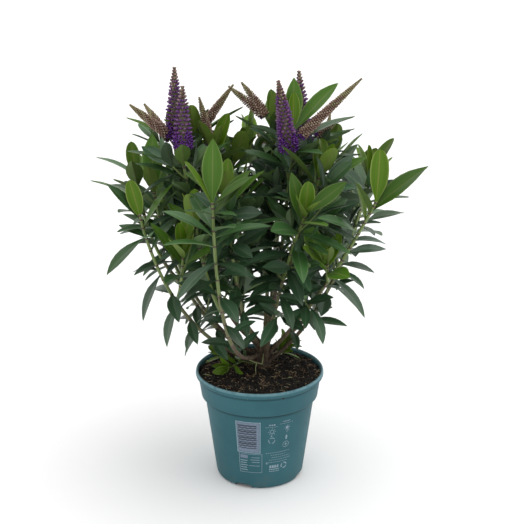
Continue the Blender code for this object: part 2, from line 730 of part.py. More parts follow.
def spike_axis(curves, spike):
    """Foot of a spike's stalk on its stem, the start of its flowers, and its heading."""
    curve = curves[spike.stem]
    foot = along(curve, length_of(curve) - spike.below * MM)[0]
    heading = polar(spike.azimuth, math.sin(math.radians(spike.lean)),
                    math.cos(math.radians(spike.lean)))
    return foot, foot + heading * STALK_LENGTH, heading


def spike_meshes(curves, spike, swell=0.0):
    """The stalk and the tapering body of flowers or buds."""
    foot, start, heading = spike_axis(curves, spike)
    length = spike.length * MM
    points = [foot, start + heading * length]
    stalk = tube(points, (0, STALK_LENGTH + 6 * MM), (STALK_RADIUS, STALK_RADIUS), 3)
    radius = SPIKE_RADII[spike.state]
    distances = [STALK_LENGTH + length * share for share, _ in SPIKE_PROFILE]
    radii = [radius * width + swell for _, width in SPIKE_PROFILE]
    distances.append(STALK_LENGTH + length)
    radii.append(0.6 * MM + swell)
    return stalk, tube(points, distances, radii, SPIKE_SIDES)


def has_room(space, leaf, name, number, bottom):
    """Whether a leaf of a stem stays over the bottom height and clear of all other things."""
    swollen = leaf_mesh(leaf, 0.0, CLEARANCE)
    return lowest(swollen) >= bottom and space.is_clear(leaf_mesh(leaf, FREE_FROM), swollen,
                                                        name, number)


def grow():
    """Lay out every stem, spike and leaf; leaves that would touch another thing are skipped."""
    space = Space()
    curves = {mass.name: stem_curves(mass) for mass in MASSES}
    rim_line = [Vector((0, 0, POT_HEIGHT - COLLAR_HEIGHT)), Vector((0, 0, POT_HEIGHT + 1 * MM))]
    rim_radii = (RIM_RADIUS + 1 * MM,) * 2
    space.add(tube(rim_line, (0, COLLAR_HEIGHT + 1 * MM), rim_radii, 24), ("pot", 0))
    trunk_line = [trunk_point(0), trunk_point(1)]
    trunk_radii = [TRUNK_RADII[row][1] * MM + CLEARANCE for row in (0, -1)]
    space.add(tube(trunk_line, (0, TRUNK_LEAN.length), trunk_radii, 10), ("trunk", 0))
    thick = [radius + CLEARANCE for radius in BOUGH_RADII]
    for mass in BOUGHED:
        space.add(tube(main_curve(mass), (0, BOUGH_LENGTH), thick, 6), ("bough", mass.name))
    for mass in MASSES:
        for number, curve in enumerate(curves[mass.name]):
            space.add(twig_mesh(curve, mass.size), (mass.name, number))
        for spike in mass.spikes:
            for mesh in spike_meshes(curves[mass.name], spike):
                space.add(mesh, (mass.name, "spike"))
    slots = []
    for mass in MASSES:
        for number, curve in enumerate(curves[mass.name]):
            for slot in leaf_slots(mass, number, curve):
                slots.append((slot[2], mass.name, number, slot))
    slots.sort(key=lambda item: item[0])
    leaves = {mass.name: [] for mass in MASSES}
    for name, rows in KNOWN.items():
        for known in rows:
            for nudge in TRIES:
                leaf = known_leaf(curves[name][known.stem], known, nudge)
                if has_room(space, leaf, name, known.stem, LOWEST_LEAF):
                    space.add(leaf_mesh(leaf), (name, "leaf"))
                    leaves[name].append(leaf)
                    break
    known_leaves = {name: list(rows) for name, rows in leaves.items()}
    for _, name, number, (distance, turn, k, size, lift) in slots:
        curve = curves[name][number]
        bottom = LOWEST_LEAF if size > SPROUT_SIZE else LOWEST_SPROUT_LEAF
        for nudge in TRIES:
            leaf = leaf_at(curve, distance, turn, k, size, (nudge[0], nudge[1] + lift, nudge[2]))
            if gives_way(leaf, known_leaves[name]):
                break
            if has_room(space, leaf, name, number, bottom):
                space.add(leaf_mesh(leaf), (name, "leaf"))
                leaves[name].append(leaf)
                break
    return curves, leaves


def make_mass(mass, curves, leaves):
    """Fuse a mass's twigs, spikes and leaves into one body."""
    twigs = [new_object("twig", *twig_mesh(curve, mass.size)) for curve in curves]
    for spike in mass.spikes:
        twigs += [new_object("spike", *mesh) for mesh in spike_meshes(curves, spike)]
    blades = [new_object("blade", *leaf_mesh(leaf)) for leaf in leaves]
    made = twigs[0]
    made.name = "mass_" + mass.name
    combine(made, twigs[1:] + blades, "UNION", "MANIFOLD")
    keep_largest_body(made)
    finish(made, "hebe leaves", FOLIAGE, 20)
    return made


def main():
    clear_scene()
    make_pot()
    make_soil()
    make_trunk()
    for mass in BOUGHED:
        make_bough(mass)
    curves, leaves = grow()
    for mass in MASSES:
        make_mass(mass, curves[mass.name], leaves[mass.name])


main()
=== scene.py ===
# %% [markdown]
# # A flowering hebe in its nursery pot
# A young hebe shrub stands in a round teal plastic pot.  Its stems rise from one short trunk,
# carry leathery leaves in crossed pairs, and end in spikes of violet flowers and of buds.  The
# solid model, the frame, is loaded first.  It says where every limb goes, and this file puts
# bark, leaves, flowers, compost and moulded plastic in its place.

# %% Load the frame
import json
import math
import random
from collections import namedtuple

import bmesh
import bpy
from mathutils import Matrix, Vector, noise
from mathutils.bvhtree import BVHTree

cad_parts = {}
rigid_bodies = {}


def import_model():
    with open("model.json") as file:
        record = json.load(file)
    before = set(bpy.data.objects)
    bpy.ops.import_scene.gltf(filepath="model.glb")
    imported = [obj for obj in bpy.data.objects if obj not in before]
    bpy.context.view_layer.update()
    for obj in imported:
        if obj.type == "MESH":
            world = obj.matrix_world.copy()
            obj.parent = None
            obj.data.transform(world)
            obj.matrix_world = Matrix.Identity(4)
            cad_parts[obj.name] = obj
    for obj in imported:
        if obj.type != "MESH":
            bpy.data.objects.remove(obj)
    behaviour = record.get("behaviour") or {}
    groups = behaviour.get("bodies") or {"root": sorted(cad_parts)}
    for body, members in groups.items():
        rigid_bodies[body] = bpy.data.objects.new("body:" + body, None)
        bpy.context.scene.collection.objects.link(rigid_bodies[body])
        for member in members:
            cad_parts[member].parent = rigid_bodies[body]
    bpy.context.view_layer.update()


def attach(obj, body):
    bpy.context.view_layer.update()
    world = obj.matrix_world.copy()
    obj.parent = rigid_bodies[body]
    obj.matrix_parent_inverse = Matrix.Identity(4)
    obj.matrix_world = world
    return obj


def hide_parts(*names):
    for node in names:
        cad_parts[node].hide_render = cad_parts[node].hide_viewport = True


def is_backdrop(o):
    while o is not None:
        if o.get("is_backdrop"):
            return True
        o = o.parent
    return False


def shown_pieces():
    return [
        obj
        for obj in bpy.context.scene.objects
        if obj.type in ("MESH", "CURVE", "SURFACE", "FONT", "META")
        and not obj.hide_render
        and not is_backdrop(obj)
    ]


for item in list(bpy.data.objects):
    bpy.data.objects.remove(item, do_unlink=True)
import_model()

# %% [markdown]
# ## Sizes of the plant
# A shrub can be drawn by hand, leaf by leaf, or grown by a rule.  A rule is used here: each stem
# is a curve that runs outward and then rises, and leaves sit on it in pairs, each pair turned a
# right angle from the last.  The leaves are counted from the tip down, because a leaf's age
# settles its length, how far it stands out and how much it droops.

# %% Sizes of the pot, the trunk and the boughs
MM = 0.001
GAP = 0.3 * MM
POT_HEIGHT = 150 * MM
RIM_RADIUS = 85 * MM
FOOT_RADIUS = 53.5 * MM
COLLAR_HEIGHT = 36 * MM
NOTCH_AZIMUTHS = (68, 158, 248, 338)
SOIL_EDGE = 144.5 * MM
SOIL_CROWN = 147 * MM

TRUNK_FOOT = Vector((4 * MM, 15 * MM, SOIL_CROWN + GAP))
TRUNK_LEAN = Vector((-2 * MM, -3 * MM, 30 * MM))
TRUNK_RADII = ((0.0, 11.5), (0.12, 9.6), (0.3, 8.6), (0.6, 8.2), (0.9, 8.6), (1.0, 8.4))
FLUTES = 5
FLUTE_DEPTH = 0.06
BOUGH_LENGTH = 44 * MM
BOUGH_RADII = (2.8 * MM, 2.6 * MM)
FOOT_TIER, LOW_TIER, MIDDLE_TIER, TOP_TIER = 0.09, 0.28, 0.68, 1.0
TOP_RING = 5.6 * MM

# %% Sizes of the twigs, leaves and spikes
TWIG_RADII = (2.6 * MM, 1.9 * MM)
TWIG_STEP = 32 * MM
TWIG_PROUD = 1.25
FORK_SPACING = 0.12
STALK_RADIUS = 1.3 * MM
STALK_LENGTH = 15 * MM

PAIR_GAPS = (6, 11, 16, 19, 21, 23)
LEAF_LENGTHS = (42, 58, 68, 74, 74, 70, 64, 58, 52, 46)
LEAF_ANGLES = (14, 26, 40, 52, 60, 64, 66, 68, 70, 70)
LEAF_BENDS = (4, 9, 14, 20, 26, 30, 34, 36, 38, 40)
LEAF_DROOPS = (0, 0, 0, 0, 0.03, 0.08, 0.14, 0.2, 0.26, 0.3)
LEAF_WIDTH = 0.31
LEAF_FOLD = 0.012
LEAF_THICKNESS = 0.018
LEAF_HALF_WIDTHS = ((0.0, 0.14), (0.12, 0.2), (0.38, 0.86), (0.58, 1.0), (0.8, 0.72), (1.0, 0.0))
LEAF_STATIONS = (0.36, 0.7)
LEAF_ROOT = 0.8 * MM
FREE_FROM = 0.14
CLEARANCE = 0.7 * MM
LOWEST_LEAF = 178 * MM
LOWEST_SPROUT_LEAF = 150 * MM
SPROUT_SIZE = 0.6
LEAFLESS = (9, 24)
SHADED_FROM = 4
SHADED_SHARE = 0.36
TRIES = ((0, 0, 1), (16, -8, 1), (-16, 8, 1), (24, 12, 0.9), (-26, -14, 0.85), (10, -22, 0.75))

BLOOM, BUD = "bloom", "bud"
SPIKE_RADII = {BLOOM: 13 * MM, BUD: 7 * MM}
SPIKE_PROFILE = ((0.0, 0.35), (0.07, 1.0), (0.5, 0.7), (0.93, 0.32))

# %% [markdown]
# ## Where the stems go
# Each row is one mass of foliage: the height and side where its bough leaves the trunk, the
# places where its stems end, and the spikes that they carry.  A table is the plain way to hold
# what no rule can tell, which is where this one shrub happened to send its stems.

# %% The stems of each mass
Stem = namedtuple("Stem", "azimuth reach rise bow phase", defaults=(0,))
Spike = namedtuple("Spike", "stem below azimuth lean length state")
Mass = namedtuple("Mass", "name tier exit fork stems spikes size", defaults=((), 1.0))

MASSES = (
    Mass("far_left", LOW_TIER, 205, 0.45,
         (Stem(203, 163, 201, 0.26, 0), Stem(224, 132, 160, 0.2, 90))),
    Mass("left", MIDDLE_TIER, 187, 0.4,
         (Stem(191, 137, 219, 0.28, 0), Stem(165, 170, 224, 0.3, 90))),
    Mass("front_left", MIDDLE_TIER, 243, 0.45,
         (Stem(249, 157, 240, 0.44, 170), Stem(224, 112, 196, 0.2, 0))),
    Mass("front_centre", TOP_TIER, 258, 0.4,
         (Stem(244, 94, 232, 0.28, 140), Stem(235, 43, 226, 0.1, 10))),
    Mass("flowering_left", TOP_TIER, 186, 0.55,
         (Stem(202, 105, 272, 0.26, 70), Stem(180, 110, 282, 0.2, 90)),
         (Spike(0, 10, 90, 9, 78, BLOOM), Spike(1, 14, 288, 3, 91, BLOOM),
          Spike(1, 2, 222, 51, 71, BUD), Spike(1, 10, 126, 60, 69, BUD))),
    Mass("upper_left", TOP_TIER, 114, 0.5,
         (Stem(161, 91, 277, 0.24, 170), Stem(175, 60, 262, 0.15, 90),
          Stem(140, 42, 250, 0.1, 50)),
         (Spike(0, 2, 348, 36, 74, BUD), Spike(1, 4, 165, 14, 62, BUD))),
    Mass("flowering_right", TOP_TIER, 330, 0.5,
         (Stem(317, 54, 305, 0.15, 140), Stem(5, 58, 276, 0.2, 110)),
         (Spike(0, 42, 246, 21, 98, BLOOM), Spike(1, 14, 144, 6, 90, BLOOM),
          Spike(0, 22, 348, 45, 105, BUD), Spike(1, 2, 6, 54, 33, BUD))),
    Mass("upper_centre", TOP_TIER, 42, 0.55,
         (Stem(66, 40, 297, 0.12, 80), Stem(100, 80, 262, 0.2, 10)),
         (Spike(0, 3, 168, 53, 60, BUD), Spike(0, 6, 160, 40, 54, BUD))),
    Mass("front_right", LOW_TIER, 285, 0.5,
         (Stem(296, 124, 217, -0.1, 40), Stem(322, 92, 252, 0.12, 140))),
    Mass("far_right", MIDDLE_TIER, 329, 0.45,
         (Stem(325, 169, 227, 0.07, 110), Stem(309, 128, 150, 0.2, 60))),
    Mass("right", LOW_TIER, 0, 0.45,
         (Stem(1, 138, 238, 0.22, 120), Stem(27, 102, 250, 0.2, 170))),
    Mass("back_right", MIDDLE_TIER, 34, 0.45,
         (Stem(33, 172, 205, 0.3, 40), Stem(52, 124, 226, 0.2, 10)),
         (Spike(1, 12, 60, 24, 66, BUD),)),
    Mass("back_centre", LOW_TIER, 74, 0.45,
         (Stem(82, 168, 205, 0.3, 90), Stem(74, 108, 232, 0.2, 60)),
         (Spike(1, 14, 70, 10, 76, BLOOM), Spike(1, 20, 130, 50, 62, BUD))),
    Mass("back_left", MIDDLE_TIER, 112, 0.45,
         (Stem(112, 172, 200, 0.3, 150), Stem(134, 132, 222, 0.2, 10)),
         (Spike(1, 14, 140, 12, 74, BLOOM),)),
    Mass("left_back", LOW_TIER, 146, 0.45,
         (Stem(146, 176, 206, 0.3, 80), Stem(160, 128, 168, 0.2, 20))),
    Mass("sprout_left", FOOT_TIER, 188, 0.35,
         (Stem(188, 56, -8, 0.1), Stem(216, 54, -20, 0.1, 20)), (), 0.42),
    Mass("sprout_right", FOOT_TIER, 30, 0.5, (Stem(28, 40, -6, 0.0, 50),), (), 0.4),
)
BOUGHED = [mass for mass in MASSES if mass.tier > FOOT_TIER]
print("masses:", len(MASSES), "of which", len(BOUGHED), "grow from a bough")

# %% [markdown]
# The rule fills the crown, but some leaves stand out so much that their own places are given: how
# far under the stem's tip they sit, where they point, how long and how old they are.  Leaves of
# the rule close by give way to them.  A second table tells which leaves each stem has shed,
# counted from its tip, two to a pair.

# %% Known leaves and shed leaves
Known = namedtuple("Known", "stem below azimuth rise length age")
KNOWN = {
    "left": (Known(0, 2, 97, 72, 76, 2), Known(0, 2, 220, 76, 40, 0),
             Known(1, 2, 121, 75, 45, 0), Known(1, 2, 160, 19, 62, 4)),
    "far_left": (Known(0, 5, 145, 71, 49, 1), Known(0, 9, 171, 47, 63, 3),
                 Known(0, 31, 210, -37, 69, 4), Known(0, 33, 146, 12, 46, 4),
                 Known(0, 80, 140, -15, 50, 6), Known(0, 86, 228, -59, 64, 6),
                 Known(0, 133, 241, -63, 59, 8), Known(0, 175, 253, -37, 42, 9)),
    "far_right": (Known(0, 1, 76, 72, 64, 1), Known(0, 15, 4, 39, 88, 2),
                  Known(0, 31, 31, 2, 60, 4), Known(0, 31, 165, 76, 49, 1),
                  Known(0, 85, 23, -1, 58, 5), Known(0, 103, 19, -19, 52, 6),
                  Known(0, 113, 307, -10, 56, 7), Known(0, 125, 337, -47, 68, 7),
                  Known(0, 182, 299, -50, 54, 9), Known(0, 231, 281, -17, 44, 9)),
    "flowering_right": (Known(0, 2, 87, 70, 63, 2), Known(0, 2, 107, 78, 45, 0),
                        Known(0, 8, 14, 46, 83, 2), Known(0, 23, 2, 28, 90, 3),
                        Known(1, 9, 2, 26, 71, 3)),
    "flowering_left": (Known(1, 2, 181, 26, 67, 2),),
    "upper_left": (Known(0, 4, 9, 33, 77, 2),),
    "right": (Known(0, 5, 27, 51, 58, 1), Known(0, 9, 126, 63, 46, 1),
              Known(0, 12, 54, 75, 52, 0)),
    "front_left": (Known(0, 1, 89, 69, 76, 2), Known(0, 2, 162, 66, 60, 1),
                   Known(0, 4, 3, 37, 58, 2), Known(0, 13, 320, 6, 38, 3),
                   Known(0, 15, 215, 16, 42, 3), Known(0, 42, 183, 28, 68, 4),
                   Known(0, 44, 3, 11, 70, 4), Known(0, 75, 214, -35, 66, 5),
                   Known(0, 94, 337, 5, 53, 5), Known(1, 114, 214, -17, 36, 8)),
    "front_centre": (Known(0, 2, 83, 76, 46, 0), Known(0, 168, 283, -38, 41, 8),
                     Known(1, 1, 35, 75, 41, 0)),
    "front_right": (Known(0, 2, 8, 38, 62, 2), Known(0, 10, 358, 72, 51, 1),
                    Known(0, 30, 146, 72, 63, 3), Known(0, 37, 349, -20, 71, 4),
                    Known(0, 63, 210, 50, 43, 3), Known(0, 100, 175, 18, 61, 5),
                    Known(0, 141, 175, 12, 35, 6), Known(0, 194, 282, -11, 27, 8)),
}
KNOWN_REACH = 9 * MM
KNOWN_ANGLE = math.radians(42)

SHED = {
    "far_left": ((4, 9, 11, 23), (8,)),
    "front_left": ((21, 23), ()),
    "left": ((17,), (10, 17)),
    "flowering_left": ((2,), (4, 5)),
    "upper_centre": ((), (3,)),
    "far_right": ((7, 9, 10, 18, 20, 23), ()),
    "right": ((4, 9, 15, 23, 24), (1,)),
    "back_right": ((15, 18), ()),
}

# %% [markdown]
# ## Camera, light and floor
# The photograph was taken from a little above, with a long lens: the pot's rim shows as a
# flattened ring, and its sides hardly close in.  A camera fitted to the rim and foot gives the
# numbers below.  The light is that of a white studio: a pale world from all sides and one very
# soft lamp from above, a little to the right, so the floor is a little darker on the left of the
# pot.  A sun lamp lights the whole floor evenly, where an area light would leave its end grey.

# %% Camera
LOOK_AT = Vector((3.16 * MM, 0, 298.6 * MM))
CAMERA_DISTANCE = 1.6
CAMERA_PITCH = math.radians(18.818)

camera_data = bpy.data.cameras.new("camera")
camera_data.lens = 85
camera_data.sensor_width = 36
camera = bpy.data.objects.new("camera", camera_data)
bpy.context.scene.collection.objects.link(camera)
away = Vector((0, -math.cos(CAMERA_PITCH), math.sin(CAMERA_PITCH)))
camera.location = LOOK_AT + away * CAMERA_DISTANCE
camera.rotation_euler = (-away).to_track_quat("-Z", "Y").to_euler()
bpy.context.scene.camera = camera
bpy.context.scene.view_settings.view_transform = "Standard"

# %% Light
SUN_FROM = Vector((0.30, 0.02, 1.0))
sun_data = bpy.data.lights.new("soft lamp", "SUN")
sun_data.energy = 0.85
sun_data.angle = math.radians(55)
sun = bpy.data.objects.new("soft lamp", sun_data)
sun.rotation_euler = (-SUN_FROM).to_track_quat("-Z", "Y").to_euler()
bpy.context.scene.collection.objects.link(sun)
world = bpy.data.worlds.new("studio")
world.use_nodes = True
world.node_tree.nodes["Background"].inputs["Color"].default_value = (1, 1, 1, 1)
world.node_tree.nodes["Background"].inputs["Strength"].default_value = 1.0
bpy.context.scene.world = world
print("camera at", camera.location)

# %% [markdown]
# ## Helpers for meshes and for node trees
# Blender's nodes can be placed by hand or by script.  A script reads best if a sum looks like a
# sum, so an output socket is wrapped in a small class whose plus, minus and times add Math
# nodes.  One method makes every other node, in a shader or in a tree for geometry.


# %% Arithmetic on sockets
class Value:
    """An output socket that sums can be written with."""

    def __init__(self, graph, socket):
        self.graph = graph
        self.socket = socket

    def out(self, name):
        """Another output of the same node."""
        return Value(self.graph, self.socket.node.outputs[name])

    def maths(self, operation, *operands):
        """A Math node on this value alone, or on the operands given."""
        inputs = dict(enumerate(operands or (self,)))
        return self.graph.node("ShaderNodeMath", {"operation": operation}, inputs)

    def __add__(self, other):
        return self.maths("ADD", self, other)

    def __sub__(self, other):
        return self.maths("SUBTRACT", self, other)

    def __rsub__(self, other):
        return self.maths("SUBTRACT", other, self)

    def __mul__(self, other):
        return self.maths("MULTIPLY", self, other)

    def __truediv__(self, other):
        return self.maths("DIVIDE", self, other)

    def __rtruediv__(self, other):
        return self.maths("DIVIDE", other, self)

    def __pow__(self, other):
        return self.maths("POWER", self, other)

    def __mod__(self, other):
        return self.maths("MODULO", self, other)

    def __lt__(self, other):
        return self.maths("LESS_THAN", self, other)

    __radd__ = __add__
    __rmul__ = __mul__


class Graph:
    """A node tree that is added to by one method."""

    def __init__(self, tree):
        self.tree = tree

    def node(self, kind, settings=None, inputs=None, output=0):
        """Add a node; settings come first, then each input gets its value or its link."""
        made = self.tree.nodes.new(kind)
        for name, value in (settings or {}).items():
            if name == "stops":
                self.set_stops(made.color_ramp, value)
            else:
                setattr(made, name, value)
        for key, value in (inputs or {}).items():
            values = value if isinstance(value, list) else [value]
            for one in values:
                if isinstance(one, Value):
                    self.tree.links.new(one.socket, made.inputs[key])
                else:
                    made.inputs[key].default_value = one
        return Value(self, made.outputs[output]) if made.outputs else None

    @staticmethod
    def set_stops(ramp, stops):
        while len(ramp.elements) < len(stops):
            ramp.elements.new(0.5)
        for element, (place, colour) in zip(ramp.elements, stops):
            element.position = place
            element.color = (*colour, 1)


# %% Plain and patterned materials
def plain(name, colour, roughness, **fixed):
    """A material of one colour; foliage has these, since a leaf is smaller than a pattern."""
    made = bpy.data.materials.new(name)
    made.use_nodes = True
    shader = made.node_tree.nodes["Principled BSDF"]
    shader.inputs["Base Color"].default_value = (*colour, 1)
    shader.inputs["Roughness"].default_value = roughness
    for socket, value in fixed.items():
        shader.inputs[socket.replace("_", " ")].default_value = value
    return made


class Surface:
    """A patterned material: its shader, and the position on the object that patterns read."""

    def __init__(self, name, roughness, **fixed):
        self.material = plain(name, (0.5, 0.5, 0.5), roughness, **fixed)
        self.graph = Graph(self.material.node_tree)
        self.shader = self.material.node_tree.nodes["Principled BSDF"]
        self.place = self.graph.node("ShaderNodeTexCoord", output="Object")

    def noise(self, scale, detail=4, roughness=0.55, stretch=(1, 1, 1)):
        """A noise pattern, about so many lumps a metre, stretched along an axis if asked."""
        moved = self.graph.node("ShaderNodeMapping", None,
                                {"Vector": self.place, "Scale": stretch})
        return self.graph.node("ShaderNodeTexNoise", None,
                               {"Vector": moved, "Scale": scale, "Detail": detail,
                                "Roughness": roughness})

    def ramp(self, value, stops):
        return self.graph.node("ShaderNodeValToRGB", {"stops": stops}, {"Fac": value})

    def band(self, value, low, high):
        """0 below low, 1 above high, smooth between."""
        return self.graph.node("ShaderNodeMapRange", {"interpolation_type": "SMOOTHSTEP"},
                               {"Value": value, "From Min": low, "From Max": high})

    def blend(self, mask, first, second):
        """One colour where the mask is 0 and another where it is 1."""
        inputs = {"Factor": mask, 6: first, 7: second}
        inputs = {key: (*value, 1) if isinstance(value, tuple) else value
                  for key, value in inputs.items()}
        return self.graph.node("ShaderNodeMix", {"data_type": "RGBA"}, inputs, output=2)

    def feed(self, socket, value):
        """Link a value to a socket of the shader."""
        self.graph.tree.links.new(value.socket, self.shader.inputs[socket])

    def bump(self, height, distance, strength=1.0):
        normal = self.graph.node("ShaderNodeBump", None, {"Height": height, "Distance": distance,
                                                          "Strength": strength})
        self.feed("Normal", normal)


# %% Mesh helpers
def mesh_object(name, points, faces, materials=(), slots=None, smooth=True, sharp=None):
    """An object at the origin from points and faces, each face with its material's number."""
    mesh = bpy.data.meshes.new(name)
    mesh.from_pydata([tuple(point) for point in points], [], faces)
    for finish in materials:
        mesh.materials.append(finish)
    if slots is not None:
        mesh.polygons.foreach_set("material_index", slots)
    if smooth:
        mesh.shade_smooth()
    if sharp is not None:
        mesh.set_sharp_from_angle(angle=math.radians(sharp))
    made = bpy.data.objects.new(name, mesh)
    bpy.context.scene.collection.objects.link(made)
    return made


def turn_outwards(mesh, merged=None):
    """Turn all faces outwards, after points within a distance are merged, if one is given."""
    shape = bmesh.new()
    shape.from_mesh(mesh)
    if merged is not None:
        bmesh.ops.remove_doubles(shape, verts=shape.verts, dist=merged)
    bmesh.ops.recalc_face_normals(shape, faces=shape.faces)
    shape.to_mesh(mesh)
    shape.free()


# %% Geometry trees
def geometry_graph(name, inputs):
    """A new geometry tree with named inputs; gives its graph and the inputs as values."""
    tree = bpy.data.node_groups.new(name, "GeometryNodeTree")
    tree.interface.new_socket("Geometry", in_out="INPUT", socket_type="NodeSocketGeometry")
    for label, (kind, value) in inputs.items():
        socket = tree.interface.new_socket(label, in_out="INPUT",
                                           socket_type="NodeSocket" + kind)
        if value is not None:
            socket.default_value = value
    tree.interface.new_socket("Geometry", in_out="OUTPUT", socket_type="NodeSocketGeometry")
    graph = Graph(tree)
    first = graph.node("NodeGroupInput")
    return graph, {label: first.out(label) for label in ("Geometry", *inputs)}


def close_graph(graph, geometry):
    """Give a tree its output and return it."""
    graph.node("NodeGroupOutput", None, {0: geometry})
    return graph.tree


def run_tree(base, tree, name, **values):
    """Run a geometry tree on an object once and keep the result as a plain mesh object."""
    modifier = base.modifiers.new("grow", "NODES")
    modifier.node_group = tree
    identifiers = {item.name: item.identifier for item in tree.interface.items_tree
                   if item.in_out == "INPUT"}
    for label, value in values.items():
        modifier[identifiers[label.replace("_", " ")]] = value
    depsgraph = bpy.context.evaluated_depsgraph_get()
    mesh = bpy.data.meshes.new_from_object(base.evaluated_get(depsgraph))
    base.modifiers.remove(modifier)
    mesh.name = name
    made = bpy.data.objects.new(name, mesh)
    bpy.context.scene.collection.objects.link(made)
    return made


# %% Joining and placing
def triangles(made):
    """How many triangles an object's mesh makes."""
    return sum(len(face.vertices) - 2 for face in made.data.polygons)


def join(pieces, name):
    """Join objects into the first and name it."""
    with bpy.context.temp_override(active_object=pieces[0], object=pieces[0],
                                   selected_objects=pieces, selected_editable_objects=pieces):
        bpy.ops.object.join()
    pieces[0].name = name
    pieces[0].data.name = name
    return pieces[0]


def place(made, slot, *nodes):
    """Ride on the one body and stand in for the nodes named; the slot is not used."""
    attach(made, "root")
    if nodes:
        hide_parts(*nodes)
    print(made.name, "has", triangles(made), "triangles")


# %% Floor
floor_finish = plain("floor paper", (0.96, 0.96, 0.96), 0.9, Specular_IOR_Level=0.0)
floor = mesh_object("floor", [(-9, -9, 0), (9, -9, 0), (9, 9, 0), (-9, 9, 0)], [(0, 1, 2, 3)],
                    [floor_finish])
floor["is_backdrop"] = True

# %% [markdown]
# ## The pot
# A nursery pot is moulded in one shot: a thin wall that tapers down to the foot, a deep collar
# that stands out from it, and a rolled lip.  A turned outline gives all of that.  Spinning it in
# 96 steps keeps the rim round at close range, and small steps in the outline round the edges.
# Its four arched notches are cut afterwards by one Boolean.


# %% Turned shapes
def polar(azimuth, radius, height=0.0):
    """A point from its azimuth in degrees, its radius and its height."""
    angle = math.radians(azimuth)
    return Vector((radius * math.cos(angle), radius * math.sin(angle), height))


def interpolate(table, share):
    """The value at a share, read from a table of (share, value) rows."""
    for (low, first), (high, second) in zip(table, table[1:]):
        if share <= high:
            return first + (second - first) * (share - low) / (high - low)
    return table[-1][1]


def turned(name, outline, sides, finish):
    """A solid of revolution; outline is (radius, height) in mm from the axis and back to it."""
    points, rings, faces = [], [], []
    for radius, height in outline:
        start = len(points)
        if radius == 0:
            points.append((0, 0, height * MM))
            rings.append([start] * sides)
        else:
            points += [polar(360 * side / sides, radius * MM, height * MM)
                       for side in range(sides)]
            rings.append(list(range(start, start + sides)))
    for lower, upper in zip(rings, rings[1:]):
        for side in range(sides):
            after = (side + 1) % sides
            corners = (lower[side], lower[after], upper[after], upper[side])
            faces.append(tuple(dict.fromkeys(corners)))
    return mesh_object(name, points, faces, [finish])


# %% [markdown]
# The plastic is a muted teal with a soft shine, and its lip is paler in patches.  Real pots are
# handled and stacked, so it gets faint cloudy tones, fine upright scuffs, and a little compost
# dust low down.
# A dark line of painted shade runs along the grooves under the collar and under the lip.
# All of it comes from noise and height in the object's own coordinates, so it stays in place.

# %% Teal plastic
LIP_TOP = POT_HEIGHT - 1.5 * MM
teal = Surface("teal plastic", 0.5, Specular_IOR_Level=0.16)
cloud = teal.noise(14, 3)
scuff = teal.band(teal.noise(420, 6, 0.7, (1, 1, 0.12)), 0.62, 0.78)
speck = teal.band(teal.noise(900, 2), 0.70, 0.78)
height_of = teal.graph.node("ShaderNodeSeparateXYZ", None, {"Vector": teal.place}, output="Z")
# The top band of the lip is paler, in patches.
pale_lip_band = teal.band(height_of, 0.1455, LIP_TOP) * teal.band(teal.noise(120, 4), 0.1, 0.6)
dusty = (1 - teal.band(height_of, 0.004, 0.045)) * teal.band(teal.noise(60, 5), 0.45, 0.75)
tone = teal.blend(teal.band(cloud, 0.3, 0.7), (0.028, 0.102, 0.123), (0.037, 0.124, 0.147))
tone = teal.blend(scuff * 0.35, tone, (0.12, 0.21, 0.23))
tone = teal.blend(speck * 0.3, tone, (0.20, 0.27, 0.28))
tone = teal.blend(pale_lip_band * 0.8, tone, (0.17, 0.31, 0.35))
# Painted shade: dark lines along the grooves under the collar and under the lip.
collar_painted_shade = teal.band(height_of, 0.1076, 0.1130) * (1 - teal.band(height_of, 0.1140, 0.1148))
lip_painted_shade = teal.band(height_of, 0.1372, 0.1394) * (1 - teal.band(height_of, 0.1402, 0.1412))
tone = teal.blend(collar_painted_shade * 0.75, tone, (0.006, 0.024, 0.030))
tone = teal.blend(lip_painted_shade * 0.6, tone, (0.010, 0.040, 0.050))
tone = teal.blend(dusty * 0.4, tone, (0.085, 0.115, 0.11))
teal.feed("Base Color", tone)
teal.feed("Roughness", 0.44 + scuff * 0.25 + teal.noise(30, 3) * 0.16)
teal.bump(teal.noise(700, 3) + scuff * 0.6, 0.00025, 0.5)

# %% Outline of the pot and its notches
POT_SIDES = 96
MERGED = 0.001 * MM
NOTCH_WIDTH, NOTCH_HEIGHT = 24 * MM, 6.5 * MM
wall_rows = [(58.6 + 13.3 * step / 8, 6 + 100 * step / 8) for step in range(9)]
collar_rows = [(78.2 + 2.6 * step / 4, 120 + 17 * step / 4) for step in range(5)]
POT_OUTLINE = ([(0, 0), (30, 0), (53, 0), (54.6, 0.2), (56, 0.9), (57.2, 2.2), (58, 3.8)]
               + wall_rows
               + [(72.3, 111), (72.5, 113), (73.1, 113.8), (75, 114.1), (76.6, 114.4),
                  (77.5, 115.3), (77.8, 117)]
               + collar_rows
               + [(81.1, 139.6), (81.3, 141.2), (82.2, 141.7), (83.6, 142.2), (84.5, 143.2),
                  (85, 144.8), (84.9, 147.2), (84.5, 148.9), (83.8, 149.8), (83, 150),
                  (82.3, 149.7), (81.8, 148.8), (81.4, 146.5), (80.4, 142), (79, 137),
                  (76, 117), (73.8, 115), (70.6, 111), (57.2, 6), (53, 2.2), (0, 2.2)])


